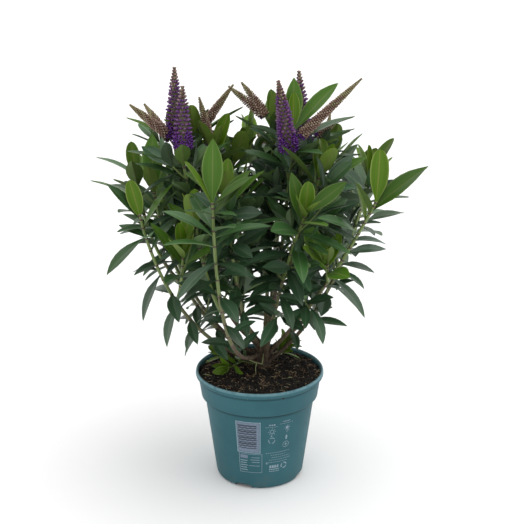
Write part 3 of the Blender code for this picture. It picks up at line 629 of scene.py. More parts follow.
def arch(azimuth, width, height, inner, outer, below, sides=8):
    """A block with an arched top that runs radially, used as a cutter."""
    outline = [(-width / 2, below), (width / 2, below)]
    for step in range(sides + 1):
        angle = math.pi * step / sides
        outline.append((width / 2 * math.cos(angle),
                        height * (0.35 + 0.65 * math.sin(angle) ** 0.6)))
    turn = Matrix.Rotation(math.radians(azimuth), 3, "Z")
    points = [turn @ Vector((radius, across, z)) for radius in (inner, outer)
              for across, z in outline]
    count = len(outline)
    faces = [tuple(range(count)), tuple(reversed(range(count, 2 * count)))]
    faces += [(corner, count + corner, count + (corner + 1) % count, (corner + 1) % count)
              for corner in range(count)]
    made = mesh_object("arch", points, faces)
    turn_outwards(made.data, MERGED)
    return made


def cut(target, cutters):
    """Cut all the cutters out of a target in one Boolean and remove them."""
    group = bpy.data.collections.new("cutters")
    bpy.context.scene.collection.children.link(group)
    for cutter in cutters:
        group.objects.link(cutter)
    modifier = target.modifiers.new("cut", "BOOLEAN")
    modifier.operation = "DIFFERENCE"
    modifier.operand_type = "COLLECTION"
    modifier.collection = group
    depsgraph = bpy.context.evaluated_depsgraph_get()
    target.data = bpy.data.meshes.new_from_object(target.evaluated_get(depsgraph))
    target.modifiers.remove(modifier)
    for cutter in cutters:
        bpy.data.objects.remove(cutter, do_unlink=True)
    bpy.data.collections.remove(group)


# %% Shell and notches
pot = turned("pot_shell", POT_OUTLINE, POT_SIDES, teal.material)
turn_outwards(pot.data, MERGED)
cut(pot, [arch(azimuth, NOTCH_WIDTH, NOTCH_HEIGHT, FOOT_RADIUS - 11 * MM,
               FOOT_RADIUS + 9 * MM, -1 * MM) for azimuth in NOTCH_AZIMUTHS])
pot.data.shade_smooth()
pot.data.set_sharp_from_angle(angle=math.radians(38))
place(pot, "pot", "pot")

# %% [markdown]
# ## The print on the pot
# Growers print care marks in pale ink on the wall.  Here it is plain: a striped panel, an empty
# frame with a few rules, a sun, a drop, a ring and rows of short dashes, with no words at all.
# Each mark is a thin plate whose points are wound round the cone of the wall.


# %% Marks wound round the wall
def wall_radius(height):
    """Outer radius of the pot's wall, in mm, at a height in mm."""
    return 58.6 + 13.1 * (height - 6) / 98


def on_wall(angle, height, proud=0.14):
    """A point on the wall: angle in degrees to the right of the front, height in mm."""
    return polar(270 + angle, (wall_radius(height) + proud) * MM, height * MM)


class Print:
    """Collects thin plates that lie on the wall."""

    def __init__(self):
        self.points, self.faces, self.slots = [], [], []

    def plate(self, outline, slot=0):
        """One flat mark from its outline of (angle, height) points, sunk into the wall."""
        start, count = len(self.points), len(outline)
        self.points += [on_wall(*point) for point in outline]
        self.points += [on_wall(*point, proud=-0.3) for point in outline]
        self.faces.append(tuple(range(start, start + count)))
        for step in range(count):
            after = (step + 1) % count
            self.faces.append((start + after, start + step, start + count + step,
                               start + count + after))
        self.slots += [slot] * (count + 1)

    def bar(self, left, right, low, high, slot=0):
        """A level bar, in pieces short enough to follow the curve of the wall."""
        steps = max(1, math.ceil((right - left) / 3))
        for step in range(steps):
            a = left + (right - left) * step / steps
            b = left + (right - left) * (step + 1) / steps
            self.plate([(a, low), (b, low), (b, high), (a, high)], slot)

    def box(self, left, right, low, high, line=0.6):
        """An empty frame of four bars."""
        across = math.degrees(line / wall_radius(low))
        self.bar(left, right, low, low + line)
        self.bar(left, right, high - line, high)
        self.bar(left, left + across, low, high)
        self.bar(right - across, right, low, high)

    def ring(self, angle, height, radius, line=0.5, sides=20, part=1.0, turn=0.0):
        """A ring or a part of one, drawn as short plates."""
        wide = math.degrees(1 / wall_radius(height))
        for step in range(round(sides * part)):
            corners = []
            for end, reach in ((0, radius), (1, radius), (1, radius - line), (0, radius - line)):
                around = turn + 2 * math.pi * (step + end) / sides
                corners.append((angle + wide * reach * math.cos(around),
                                height + reach * math.sin(around)))
            self.plate(corners)

    def disc(self, angle, height, radius, point=0.0, sides=14):
        """A disc, or a drop if its top is drawn out to a point."""
        wide = math.degrees(1 / wall_radius(height))
        corners = []
        for step in range(sides):
            around = math.pi / 2 + 2 * math.pi * step / sides
            stretch = 1 + point * max(0, math.sin(around)) ** 6
            corners.append((angle + wide * radius * math.cos(around),
                            height + radius * stretch * math.sin(around)))
        self.plate(corners)


# %% Draw the print
ink_finish = Surface("pale ink", 0.5)
wear = ink_finish.band(ink_finish.noise(800, 4), 0.3, 0.6)
ink_finish.feed("Base Color", ink_finish.blend(wear, (0.16, 0.24, 0.29), (0.27, 0.36, 0.43)))
lilac_finish = Surface("lilac ink", 0.5)
wear = lilac_finish.band(lilac_finish.noise(700, 4), 0.3, 0.65)
lilac_finish.feed("Base Color", lilac_finish.blend(wear, (0.10, 0.155, 0.21), (0.175, 0.22, 0.30)))

marks = Print()
marks.box(-26, 1, 56.5, 104, 1.1)
marks.bar(-24.6, -0.6, 58.3, 102.2, 1)
marks.box(-24.5, 3, 26, 55, 0.5)
marks.bar(-23, -14, 48, 53, 1)
for row in range(5):
    marks.bar(-23, -14.5 - (row % 2), 29.5 + 3.6 * row, 30.6 + 3.6 * row)
for row, (left, right) in enumerate(((-9, 0), (-11, 0), (-9.5, 0.4))):
    marks.bar(left, right, 42 + 3.6 * row, 42.7 + 3.6 * row)
marks.bar(-13, 0.4, 36.5, 37.1)


def dashes(left, right, height, count, line=0.6):
    """A row of short dashes."""
    for dash in range(count):
        begin = left + (right - left) * dash / count
        marks.bar(begin, begin + (right - left) / count * 0.75, height, height + line)


def sun_mark(angle, height, radius):
    """A ring with eight rays."""
    marks.ring(angle, height, radius * 0.55, 0.6)
    wide = math.degrees(1 / wall_radius(height))
    for ray in range(8):
        around = 2 * math.pi * ray / 8
        corners = [(reach * math.cos(around) - lean * math.sin(around),
                    reach * math.sin(around) + lean * math.cos(around))
                   for reach, lean in ((radius * 0.72, -0.3), (radius, -0.3), (radius, 0.3),
                                       (radius * 0.72, 0.3))]
        marks.plate([(angle + wide * x, height + y) for x, y in corners])


dashes(10, 17.5, 98.5, 3, 1.6)
dashes(6, 20, 95.8, 6, 0.5)
dashes(25.5, 34.5, 102, 5, 0.9)
dashes(22, 38.5, 99, 7, 0.5)
sun_mark(13.5, 89, 5.2)
marks.disc(13.0, 82.5, 0.9)
for turn in (0.6, 2.7, 4.8):
    marks.ring(13.5, 75.5, 4.6, 0.9, 20, 0.24, turn)
sun_mark(31, 92, 4.2)
marks.disc(30.8, 92, 1.3)
marks.ring(32.5, 85.5, 2.4, 0.5, 20, 0.5, 0.4)
marks.disc(30.8, 78, 1.5, 0.9)
marks.disc(30.6, 75.5, 1.2)
marks.ring(30.8, 66.5, 4.6, 0.5)
marks.bar(29.3, 32.3, 66.2, 66.9)
marks.bar(30.5, 31.1, 64.4, 68.6)
for row, (left, right, count) in enumerate(((6, 35, 12), (12, 30, 7), (13, 35, 9), (10, 37, 11),
                                            (6, 33, 10))):
    dashes(left + 1, right + 2, 56 - 3.7 * row, count, 0.55)
marks.disc(8.5, 40, 1.0)
dashes(12, 24, 32.5, 4, 4.2)
dashes(11.5, 25, 29.5, 5, 1.4)
dashes(11.5, 25, 26.8, 6, 0.9)
for turn in (0.2, 2.3, 4.4):
    marks.ring(30.5, 34, 4.6, 1.3, 20, 0.26, turn)

# %% Dark wavy stripes on the panel
STRIPES = [(63.5 + 3.05 * row, 1.3 + 0.5 * (row % 3)) for row in range(12)]
STRIPE_LEFT, STRIPE_WIDTH, STRIPE_STEPS = -23.8, 20.5, 10
stripe_marks = Print()
for low, thick in STRIPES:
    for step in range(STRIPE_STEPS):
        a, b = (STRIPE_LEFT + STRIPE_WIDTH * (step + end) / STRIPE_STEPS for end in (0, 1))
        wave = [0.35 * math.sin(1.1 * at + low) for at in (a, b)]
        corners = [(a, low + wave[0]), (b, low + wave[1]), (b, low + wave[1] + thick),
                   (a, low + wave[0] + thick)]
        start = len(stripe_marks.points)
        stripe_marks.points += [on_wall(*corner, proud=0.2) for corner in corners]
        stripe_marks.faces.append(tuple(range(start, start + 4)))
        stripe_marks.slots.append(2)
dark_ink = plain("dark ink", (0.022, 0.036, 0.058), 0.5)
count = len(marks.points)
faces = marks.faces + [tuple(count + corner for corner in face) for face in stripe_marks.faces]
pot_print = mesh_object("pot_print", marks.points + stripe_marks.points, faces,
                        [ink_finish.material, lilac_finish.material, dark_ink],
                        marks.slots + stripe_marks.slots, smooth=False)
place(pot_print, "pot")

# %% [markdown]
# ## The compost
# Compost is dark crumbs of peat and bark with lighter fibres, not a smooth dome.  One fine mesh
# carries the mound and its lumps.  Geometry Nodes then scatter crumbs over it and lay fibres on
# it, which beats placing them by hand, as one tree makes hundreds and a seed keeps them fixed.


# %% Compost mound
def soil_height(x, y):
    """Height of the mound, lumpy by a sum of waves, level round the trunk."""
    radius = math.hypot(x, y) / RIM_RADIUS
    mound = SOIL_EDGE + (SOIL_CROWN - SOIL_EDGE) * (1 - radius ** 2)
    wave = math.sin(x * 210 + 1) * math.cos(y * 170 + 2) + 0.6 * math.sin(x * 90 - y * 330)
    from_trunk = math.hypot(x - TRUNK_FOOT.x, y - TRUNK_FOOT.y)
    share = min(1.0, max(0.0, (from_trunk - 18 * MM) / (14 * MM)))
    return SOIL_CROWN * (1 - share) + (mound + wave * 0.9 * MM) * share


earth = Surface("compost", 0.95)
grain = earth.noise(380, 8, 0.7)
damp = earth.noise(45, 4)
earth_tone = earth.ramp(grain, ((0.30, (0.002, 0.0018, 0.0014)), (0.52, (0.009, 0.007, 0.005)),
                                (0.72, (0.045, 0.030, 0.019))))
earth.feed("Base Color", earth.blend(earth.band(damp, 0.4, 0.7) * 0.4, earth_tone,
                                     (0.022, 0.017, 0.012)))
earth.bump(grain, 0.003, 0.9)

SOIL_TOP = 79.6 * MM
SOIL_UNDERSIDE = ((78.6, 139), (75, 116.6), (72.4, 113), (69.2, 107.6), (57, 7), (52, 3))
RINGS, SECTORS = 64, 180
points, faces = [(0, 0, soil_height(0, 0))], []
for ring in range(1, RINGS + 1):
    radius = SOIL_TOP * ring / RINGS
    for sector in range(SECTORS):
        spot = polar(360 * sector / SECTORS, radius)
        lump = noise.fractal(spot * 120, 0.6, 2.1, 5) * 3.0 * MM
        lump += abs(noise.noise(spot * 330)) * 2.2 * MM - 1.2 * MM
        points.append((spot.x, spot.y, soil_height(spot.x, spot.y) + lump))
for radius, height in SOIL_UNDERSIDE:
    points += [polar(360 * sector / SECTORS, radius * MM, height * MM)
               for sector in range(SECTORS)]
points.append((0, 0, 3 * MM))
for sector in range(SECTORS):
    after = (sector + 1) % SECTORS
    faces.append((0, 1 + sector, 1 + after))
    for ring in range(RINGS + 5):
        inner, outer = 1 + ring * SECTORS, 1 + (ring + 1) * SECTORS
        faces.append((inner + sector, outer + sector, outer + after, inner + after))
    last = 1 + (RINGS + 5) * SECTORS
    faces.append((last + after, last + sector, len(points) - 1))
soil = mesh_object("compost_mound", points, faces, [earth.material])
place(soil, "soil", "soil")

# %% Crumb tree
crumb_inputs = {"Density": ("Float", 90000.0), "Size": ("Float", 0.8 * MM), "Seed": ("Int", 3),
                "Finish": ("Material", None)}
graph, inputs = geometry_graph("scatter crumbs", crumb_inputs)
facing = graph.node("GeometryNodeInputNormal")
upward = graph.node("ShaderNodeSeparateXYZ", None, {0: facing}, output="Z")
is_top = upward.maths("GREATER_THAN", upward, 0.45)
spots = graph.node("GeometryNodeDistributePointsOnFaces", None,
                   {"Mesh": inputs["Geometry"], "Selection": is_top,
                    "Density": inputs["Density"], "Seed": inputs["Seed"]})
ball = graph.node("GeometryNodeMeshIcoSphere", None, {"Radius": inputs["Size"],
                                                      "Subdivisions": 1})
stretch = graph.node("FunctionNodeRandomValue", {"data_type": "FLOAT_VECTOR"},
                     {0: (0.35, 0.5, 0.3), 1: (1.7, 1.9, 1.2), "Seed": inputs["Seed"]})
spin = graph.node("FunctionNodeRandomValue", {"data_type": "FLOAT_VECTOR"},
                  {0: (0, 0, 0), 1: (6.3, 6.3, 6.3), "Seed": inputs["Seed"]})
turned_to = graph.node("FunctionNodeEulerToRotation", None, {0: spin})
crumbs = graph.node("GeometryNodeInstanceOnPoints", None,
                    {"Points": spots, "Instance": ball, "Rotation": turned_to,
                     "Scale": stretch})
crumbs = graph.node("GeometryNodeRealizeInstances", None, {0: crumbs})
ruffle = graph.node("ShaderNodeTexNoise", {"noise_dimensions": "3D"}, {"Scale": 900.0},
                    output="Color")
ruffle = graph.node("ShaderNodeVectorMath", {"operation": "SUBTRACT"},
                    {0: ruffle, 1: (0.5, 0.5, 0.5)})
ruffle = graph.node("ShaderNodeVectorMath", {"operation": "SCALE"},
                    {0: ruffle, "Scale": inputs["Size"]})
crumbs = graph.node("GeometryNodeSetPosition", None, {"Geometry": crumbs, "Offset": ruffle})
crumbs = graph.node("GeometryNodeSetMaterial", None,
                    {"Geometry": crumbs, "Material": inputs["Finish"]})
crumb_tree = close_graph(graph, crumbs)

# %% Scatter the crumbs
CRUMBS = (("dark crumbs", (0.006, 0.005, 0.004), 80000.0, 1.2 * MM, 3),
          ("brown crumbs", (0.034, 0.022, 0.013), 22000.0, 0.9 * MM, 5),
          ("clods", (0.010, 0.008, 0.006), 14000.0, 2.4 * MM, 15),
          ("tan chips", (0.30, 0.215, 0.130), 6500.0, 0.9 * MM, 8),
          ("moss scraps", (0.055, 0.090, 0.025), 2500.0, 0.9 * MM, 12),
          ("pale grit", (0.42, 0.38, 0.32), 2200.0, 0.5 * MM, 9))
scattered = [run_tree(soil, crumb_tree, title.replace(" ", "_"), Density=density, Size=size,
                      Seed=seed, Finish=plain(title, colour, 0.9))
             for title, colour, density, size, seed in CRUMBS]
crumb_piece = join(scattered, "compost_crumbs")
place(crumb_piece, "soil")

# %% Fibre tree
fibre_inputs = {"Density": ("Float", 9000.0), "Length": ("Float", 9 * MM),
                "Thickness": ("Float", 0.22 * MM), "Seed": ("Int", 4),
                "Finish": ("Material", None)}
graph, inputs = geometry_graph("lay fibres", fibre_inputs)
upward = graph.node("ShaderNodeSeparateXYZ", None, {0: graph.node("GeometryNodeInputNormal")},
                    output="Z")
is_top = upward.maths("GREATER_THAN", upward, 0.45)
drift = graph.node("ShaderNodeTexNoise", {"noise_dimensions": "3D"}, {"Scale": 70.0}, output=0)
drift = drift * 11 - 5.0
drift = drift.maths("MAXIMUM", drift, 0.05)
spots = graph.node("GeometryNodeDistributePointsOnFaces", None,
                   {"Mesh": inputs["Geometry"], "Selection": is_top,
                    "Density": inputs["Density"] * drift, "Seed": inputs["Seed"]})
middle = graph.node("ShaderNodeCombineXYZ", None,
                    {"Y": inputs["Length"] * 0.3, "Z": inputs["Length"] * 0.12})
end = graph.node("ShaderNodeCombineXYZ", None, {"X": inputs["Length"] * 0.5})
start = graph.node("ShaderNodeCombineXYZ", None, {"X": inputs["Length"] * -0.5})
arc = graph.node("GeometryNodeCurveQuadraticBezier", None,
                 {"Resolution": 6, "Start": start, "Middle": middle, "End": end})
swing = graph.node("FunctionNodeRandomValue", {"data_type": "FLOAT_VECTOR"},
                   {0: (-0.25, -0.25, 0), 1: (0.25, 0.25, 6.3), "Seed": inputs["Seed"]})
size_of = graph.node("FunctionNodeRandomValue", {"data_type": "FLOAT"},
                     {2: 0.35, 3: 1.3, "Seed": inputs["Seed"]}, output=1)
fibres = graph.node("GeometryNodeInstanceOnPoints", None,
                    {"Points": spots, "Instance": arc,
                     "Rotation": graph.node("FunctionNodeEulerToRotation", None, {0: swing}),
                     "Scale": size_of})
fibres = graph.node("GeometryNodeRealizeInstances", None, {0: fibres})
lift = graph.node("ShaderNodeCombineXYZ", None, {"Z": 1.1 * MM})
fibres = graph.node("GeometryNodeSetPosition", None, {"Geometry": fibres, "Offset": lift})
wire = graph.node("GeometryNodeCurvePrimitiveCircle", None,
                  {"Resolution": 3, "Radius": inputs["Thickness"]})
fibres = graph.node("GeometryNodeCurveToMesh", None,
                    {"Curve": fibres, "Profile Curve": wire, "Fill Caps": True})
fibres = graph.node("GeometryNodeSetMaterial", None,
                    {"Geometry": fibres, "Material": inputs["Finish"]})
fibre_tree = close_graph(graph, fibres)

# %% Lay the fibres
FIBRES = (("rust fibres", (0.27, 0.150, 0.070), 14000.0, 7 * MM, 0.20 * MM, 4),
          ("straw fibres", (0.58, 0.46, 0.29), 19000.0, 6 * MM, 0.20 * MM, 6),
          ("dark fibres", (0.05, 0.026, 0.013), 14000.0, 11 * MM, 0.28 * MM, 7))
laid = [run_tree(soil, fibre_tree, title.replace(" ", "_"), Density=density, Length=length,
                 Thickness=thickness, Seed=seed, Finish=plain(title, colour, 0.85))
        for title, colour, density, length, thickness, seed in FIBRES]
fibre_piece = join(laid, "compost_fibres")
place(fibre_piece, "soil")

# %% [markdown]
# ## The growth rule
# These functions are the plant's rule.  A stem is a quadratic curve: its middle point sits far
# out and low, so it leaves the trunk sideways and then climbs.  Leaves go on youngest first over
# the whole crown, and one that would cut through another is turned, lifted or made smaller, and
# left off if nothing helps.  A tree of boxes round each mesh makes that test quick.


# %% Curves of the stems
def bend_curve(start, control, end, steps=60):
    """Points of a quadratic curve."""
    points = []
    for step in range(steps + 1):
        t = step / steps
        points.append(start.lerp(control, t).lerp(control.lerp(end, t), t))
    return points


def along(points, distance):
    """The point and direction at a distance along a run of points, carried on past its ends."""
    walked = 0.0
    for first, second in zip(points, points[1:]):
        length = (second - first).length
        if walked + length >= distance:
            break
        walked += length
    direction = (second - first).normalized()
    return first + direction * (distance - walked), direction


def length_of(points):
    """Length of a run of points."""
    return sum((second - first).length for first, second in zip(points, points[1:]))


def side_of(direction, hint=Vector((0.31, 0.17, 0.94))):
    """A unit vector square to a direction, as near to the hint as can be."""
    side = hint - direction * hint.dot(direction)
    return side.normalized()


def tube(points, distances, radii, sides):
    """Vertices and faces of a closed tapering tube through stations along a run of points."""
    verts, faces = [], []
    for distance, radius in zip(distances, radii):
        centre, direction = along(points, distance)
        across = side_of(direction)
        other = direction.cross(across)
        for side in range(sides):
            angle = 2 * math.pi * side / sides
            verts.append(centre + radius * (math.cos(angle) * across + math.sin(angle) * other))
    last = len(verts) - sides
    for ring in range(0, last, sides):
        for side in range(sides):
            after = (side + 1) % sides
            faces.append((ring + side, ring + after, ring + sides + after, ring + sides + side))
    faces.append(tuple(reversed(range(sides))))
    faces.append(tuple(range(last, last + sides)))
    return verts, faces


# %% Trunk, boughs and stems
def trunk_point(share):
    """A point on the trunk's middle line."""
    return TRUNK_FOOT + TRUNK_LEAN * share


def trunk_radius(share, azimuth):
    """Radius of the trunk, which is fluted towards its foot."""
    flute = 1 + FLUTE_DEPTH * math.cos(math.radians(azimuth * FLUTES)) * (1 - share)
    return interpolate(TRUNK_RADII, share) * MM * flute


def bowed(start, end, bow):
    """The control point of a curve that runs outward first and then rises."""
    across = Vector((end.x - start.x, end.y - start.y, 0))
    up = Vector((0, 0, end.z - start.z))
    return start + across * (0.5 + bow) + up * (0.5 - bow)


def main_curve(mass):
    """The curve of a mass's first stem, from just off the trunk's surface to the stem's tip."""
    stem = mass.stems[0]
    middle = trunk_point(mass.tier)
    tip = trunk_point(1.0) + polar(stem.azimuth, stem.reach * MM, stem.rise * MM)
    reach = TOP_RING if mass.tier == TOP_TIER else trunk_radius(mass.tier, mass.exit)
    start = middle + polar(mass.exit, reach)
    control = bowed(start, tip, stem.bow)
    heading = (control - start).normalized()
    radius = BOUGH_RADII[0] if mass in BOUGHED else TWIG_RADII[0] * TWIG_PROUD * mass.size
    if mass.tier == TOP_TIER:
        tilt = math.sqrt(1 - heading.z ** 2)
        start = start + Vector((0, 0, GAP + radius * tilt))
    else:
        lean = max(0, TRUNK_LEAN.dot(polar(mass.exit, 1)) / TRUNK_LEAN.z)
        start = start + polar(mass.exit, GAP + radius * (abs(heading.z) + lean))
    return bend_curve(start, bowed(start, tip, stem.bow), tip)


def stem_curves(mass):
    """Curves of a mass's stems; the first starts where the bough ends."""
    whole = main_curve(mass)
    total = length_of(whole)
    start = BOUGH_LENGTH + GAP if mass in BOUGHED else 0
    steps = 40
    first = [along(whole, start + (total - start) * step / steps)[0] for step in range(steps + 1)]
    curves = [first]
    for number, stem in enumerate(mass.stems[1:]):
        share = mass.fork + FORK_SPACING * number
        root = along(first, length_of(first) * share)[0]
        tip = trunk_point(1.0) + polar(stem.azimuth, stem.reach * MM, stem.rise * MM)
        curves.append(bend_curve(root, bowed(root, tip, stem.bow), tip, 30))
    return curves


def twig_radius(distance, total):
    """Radius of a stem at a distance from its foot."""
    share = distance / total
    return TWIG_RADII[0] + (TWIG_RADII[1] - TWIG_RADII[0]) * share


def twig_mesh(curve, size):
    """A stem as a plain tube of three sides, for the test of room."""
    total = length_of(curve)
    count = max(2, round(total / TWIG_STEP))
    distances = [total * step / count for step in range(count + 1)]
    radii = [twig_radius(distance, total) * TWIG_PROUD * size for distance in distances]
    return tube(curve, distances, radii, 3)


# %% Places of the leaves
Leaf = namedtuple("Leaf", "base heading top length bend")


def leaf_point(leaf, share):
    """Centre of the blade at a share of its length, and the directions along and above it."""
    centre = leaf.base.copy()
    steps = 8
    for step in range(steps):
        angle = leaf.bend * share * (step + 0.5) / steps
        centre += (leaf.heading * math.cos(angle) - leaf.top * math.sin(angle)) * (
            leaf.length * share / steps)
    angle = leaf.bend * share
    heading = leaf.heading * math.cos(angle) - leaf.top * math.sin(angle)
    top = leaf.top * math.cos(angle) + leaf.heading * math.sin(angle)
    return centre, heading, top


def leaf_proxy(leaf, from_share=0.0, swell=0.0):
    """A closed blade of ten faces that stands for a leaf while room is looked for."""
    root, heading, top = leaf_point(leaf, from_share)
    if from_share == 0:
        root = root - heading * LEAF_ROOT
    verts = [root]
    for share in LEAF_STATIONS:
        centre, heading, top = leaf_point(leaf, share)
        across = heading.cross(top)
        reach = leaf.length * LEAF_WIDTH / 2 * interpolate(LEAF_HALF_WIDTHS, share) + swell
        lift = top * (leaf.length * LEAF_FOLD + swell)
        verts += [centre + across * reach + lift, centre - across * reach + lift]
    centre, heading, top = leaf_point(leaf, sum(LEAF_STATIONS) / 2)
    verts.append(centre - top * (leaf.length * LEAF_THICKNESS + swell))
    verts.append(leaf_point(leaf, 1.0)[0])
    faces = [(0, 1, 2), (1, 3, 2), (2, 3, 4), (3, 6, 4),
             (0, 2, 5), (0, 5, 1), (2, 4, 5), (1, 5, 3), (4, 6, 5), (3, 5, 6)]
    return verts, faces


# %% Room in the crown
class Space:
    """What already stands in the crown, to keep each new leaf clear of it."""

    def __init__(self):
        self.things = []

    def add(self, mesh, owner):
        verts, faces = mesh
        centre = sum(verts, Vector()) / len(verts)
        radius = max((vert - centre).length for vert in verts)
        self.things.append((centre, radius, BVHTree.FromPolygons(verts, faces), owner))

    def is_clear(self, bare, swollen, owner, stem):
        """Whether a thing is clear of all: swollen by others, bare by its own mass."""
        verts, faces = swollen
        centre = sum(verts, Vector()) / len(verts)
        radius = max((vert - centre).length for vert in verts)
        tight = BVHTree.FromPolygons(*bare)
        loose = BVHTree.FromPolygons(*swollen)
        for other_centre, other_radius, tree, other_owner in self.things:
            if (other_centre - centre).length > radius + other_radius:
                continue
            if other_owner == (owner, stem):
                continue
            mine = other_owner[0] == owner
            if (tight if mine else loose).overlap(tree):
                return False
        return True


# %% One leaf on its stem
def leaf_at(curve, distance, turn, k, size, nudge):
    """A leaf on a stem: turn is its azimuth round the stem, k its age in pairs from the tip."""
    base, direction = along(curve, distance)
    age = min(k, len(LEAF_LENGTHS) - 1)
    side = side_of(direction)
    other = direction.cross(side)
    angle = math.radians(turn + nudge[0])
    out = side * math.cos(angle) + other * math.sin(angle)
    lift = math.radians(LEAF_ANGLES[age] + nudge[1])
    heading = direction * math.cos(lift) + out * math.sin(lift)
    heading = (heading - Vector((0, 0, LEAF_DROOPS[age]))).normalized()
    skyward = direction + Vector((0, 0, 0.5 if age > 3 else 0.1))
    top = (skyward - heading * skyward.dot(heading)).normalized()
    length = LEAF_LENGTHS[age] * MM * size * nudge[2]
    return Leaf(base, heading, top, length, math.radians(LEAF_BENDS[age]))


def known_leaf(curve, known, nudge):
    """A leaf whose chord from base to tip points the way that is given."""
    age = min(known.age, len(LEAF_LENGTHS) - 1)
    base, direction = along(curve, length_of(curve) - known.below * MM)
    rise = math.radians(known.rise + nudge[1])
    chord = polar(known.azimuth + nudge[0], math.cos(rise), math.sin(rise))
    skyward = direction + Vector((0, 0, 0.5 if age > 3 else 0.1))
    top = (skyward - chord * skyward.dot(chord)).normalized()
    half = math.radians(LEAF_BENDS[age]) / 2
    heading = chord * math.cos(half) + top * math.sin(half)
    top = top * math.cos(half) - chord * math.sin(half)
    return Leaf(base, heading, top, known.length * MM * nudge[2], 2 * half)


def gives_way(leaf, known_leaves):
    """Whether a known leaf already grows from about the same spot in about this direction."""
    return any((leaf.base - known.base).length < KNOWN_REACH
               and leaf.heading.angle(known.heading) < KNOWN_ANGLE for known in known_leaves)


def lowest(mesh):
    """Height of the lowest point of a mesh."""
    return min(vert.z for vert in mesh[0])


# %% Slots for all leaves of a stem
def leaf_slots(mass, number, curve):
    """Places for leaves on one stem, youngest first; shaded ones are kept apart."""
    rng = random.Random(mass.name + str(number))
    phase = mass.stems[number].phase
    distance, k = length_of(curve) - 1.5 * MM, 0
    first = LEAFLESS[min(number, 1)] * MM * mass.size
    shed = SHED.get(mass.name, ((),) * len(mass.stems))[number]
    slots, shaded_slots, nodes = [], [], []
    while distance > first:
        nodes.append((distance, phase + 90 * k, k))
        for side in (0, 180):
            turn = phase + side + 90 * k + rng.uniform(-9, 9)
            lift = rng.uniform(-6, 6)
            size = rng.uniform(0.88, 1.08) * mass.size
            shaded = rng.random() < SHADED_SHARE and k >= SHADED_FROM
            if 2 * k + side // 180 not in shed:
                (shaded_slots if shaded else slots).append((distance, turn, k, size, lift))
        gap = PAIR_GAPS[min(k, len(PAIR_GAPS) - 1)] * MM * mass.size
        distance -= gap * rng.uniform(0.9, 1.1)
        k += 1
    return slots, shaded_slots, nodes


# %% Spikes, as far as they take up room
def spike_axis(curves, spike):
    """Foot of a spike's stalk on its stem, the start of its flowers, and its heading."""
    curve = curves[spike.stem]
    foot = along(curve, length_of(curve) - spike.below * MM)[0]
    heading = polar(spike.azimuth, math.sin(math.radians(spike.lean)),
                    math.cos(math.radians(spike.lean)))
    return foot, foot + heading * STALK_LENGTH, heading


def spike_meshes(curves, spike):
    """The stalk and the tapering body of flowers or buds, for the test of room."""
    foot, start, heading = spike_axis(curves, spike)
    length = spike.length * MM
    points = [foot, start + heading * length]
    stalk = tube(points, (0, STALK_LENGTH + 6 * MM), (STALK_RADIUS, STALK_RADIUS), 3)
    radius = SPIKE_RADII[spike.state]
    distances = [STALK_LENGTH + length * share for share, _ in SPIKE_PROFILE]
    radii = [radius * width for _, width in SPIKE_PROFILE]
    distances.append(STALK_LENGTH + length)
    radii.append(0.6 * MM)
    return stalk, tube(points, distances, radii, 6)


# %% Fill the crown
def crown_space(curves):
    """The pot's rim, the trunk, the boughs, the stems and the spikes, before any leaf."""
    space = Space()
    rim_line = [Vector((0, 0, POT_HEIGHT - COLLAR_HEIGHT)), Vector((0, 0, POT_HEIGHT + 1 * MM))]
    rim_radii = (RIM_RADIUS + 1 * MM,) * 2
    space.add(tube(rim_line, (0, COLLAR_HEIGHT + 1 * MM), rim_radii, 24), ("pot", 0))
    trunk_line = [trunk_point(0), trunk_point(1)]
    trunk_radii = [TRUNK_RADII[row][1] * MM + CLEARANCE for row in (0, -1)]
    space.add(tube(trunk_line, (0, TRUNK_LEAN.length), trunk_radii, 10), ("trunk", 0))
    thick = [radius + CLEARANCE for radius in BOUGH_RADII]
    for mass in BOUGHED:
        space.add(tube(main_curve(mass), (0, BOUGH_LENGTH), thick, 6), ("bough", mass.name))
    for mass in MASSES:
        for number, curve in enumerate(curves[mass.name]):
            space.add(twig_mesh(curve, mass.size), (mass.name, number))
        for spike in mass.spikes:
            for mesh in spike_meshes(curves[mass.name], spike):
                space.add(mesh, (mass.name, "spike"))
    return space


Grown = namedtuple("Grown", "mass number k leaf")


def has_room(space, leaf, name, number, bottom):
    """Whether a leaf of a stem stays over the bottom height and clear of all other things."""
    swollen = leaf_proxy(leaf, 0.0, CLEARANCE)
    return lowest(swollen) >= bottom and space.is_clear(leaf_proxy(leaf, FREE_FROM), swollen,
                                                        name, number)


def put_known(space, curves):
    """Place the leaves whose own places are given."""
    grown = []
    for name, rows in KNOWN.items():
        for known in rows:
            for nudge in TRIES:
                leaf = known_leaf(curves[name][known.stem], known, nudge)
                if has_room(space, leaf, name, known.stem, LOWEST_LEAF):
                    space.add(leaf_proxy(leaf), (name, "leaf"))
                    grown.append(Grown(name, known.stem, known.age, leaf))
                    break
    return grown


def put_leaves(space, slots, curves, known_leaves, owner="leaf"):
    """Place leaves from their slots, youngest first, wherever there is room for them."""
    grown = []
    for _, name, number, (distance, turn, k, size, lift) in slots:
        curve = curves[name][number]
        bottom = LOWEST_LEAF if size > SPROUT_SIZE else LOWEST_SPROUT_LEAF
        for nudge in TRIES:
            leaf = leaf_at(curve, distance, turn, k, size, (nudge[0], nudge[1] + lift, nudge[2]))
            if gives_way(leaf, known_leaves[name]):
                break
            if has_room(space, leaf, name, number, bottom):
                space.add(leaf_proxy(leaf), (name, owner))
                grown.append(Grown(name, number, k, leaf))
                break
    return grown


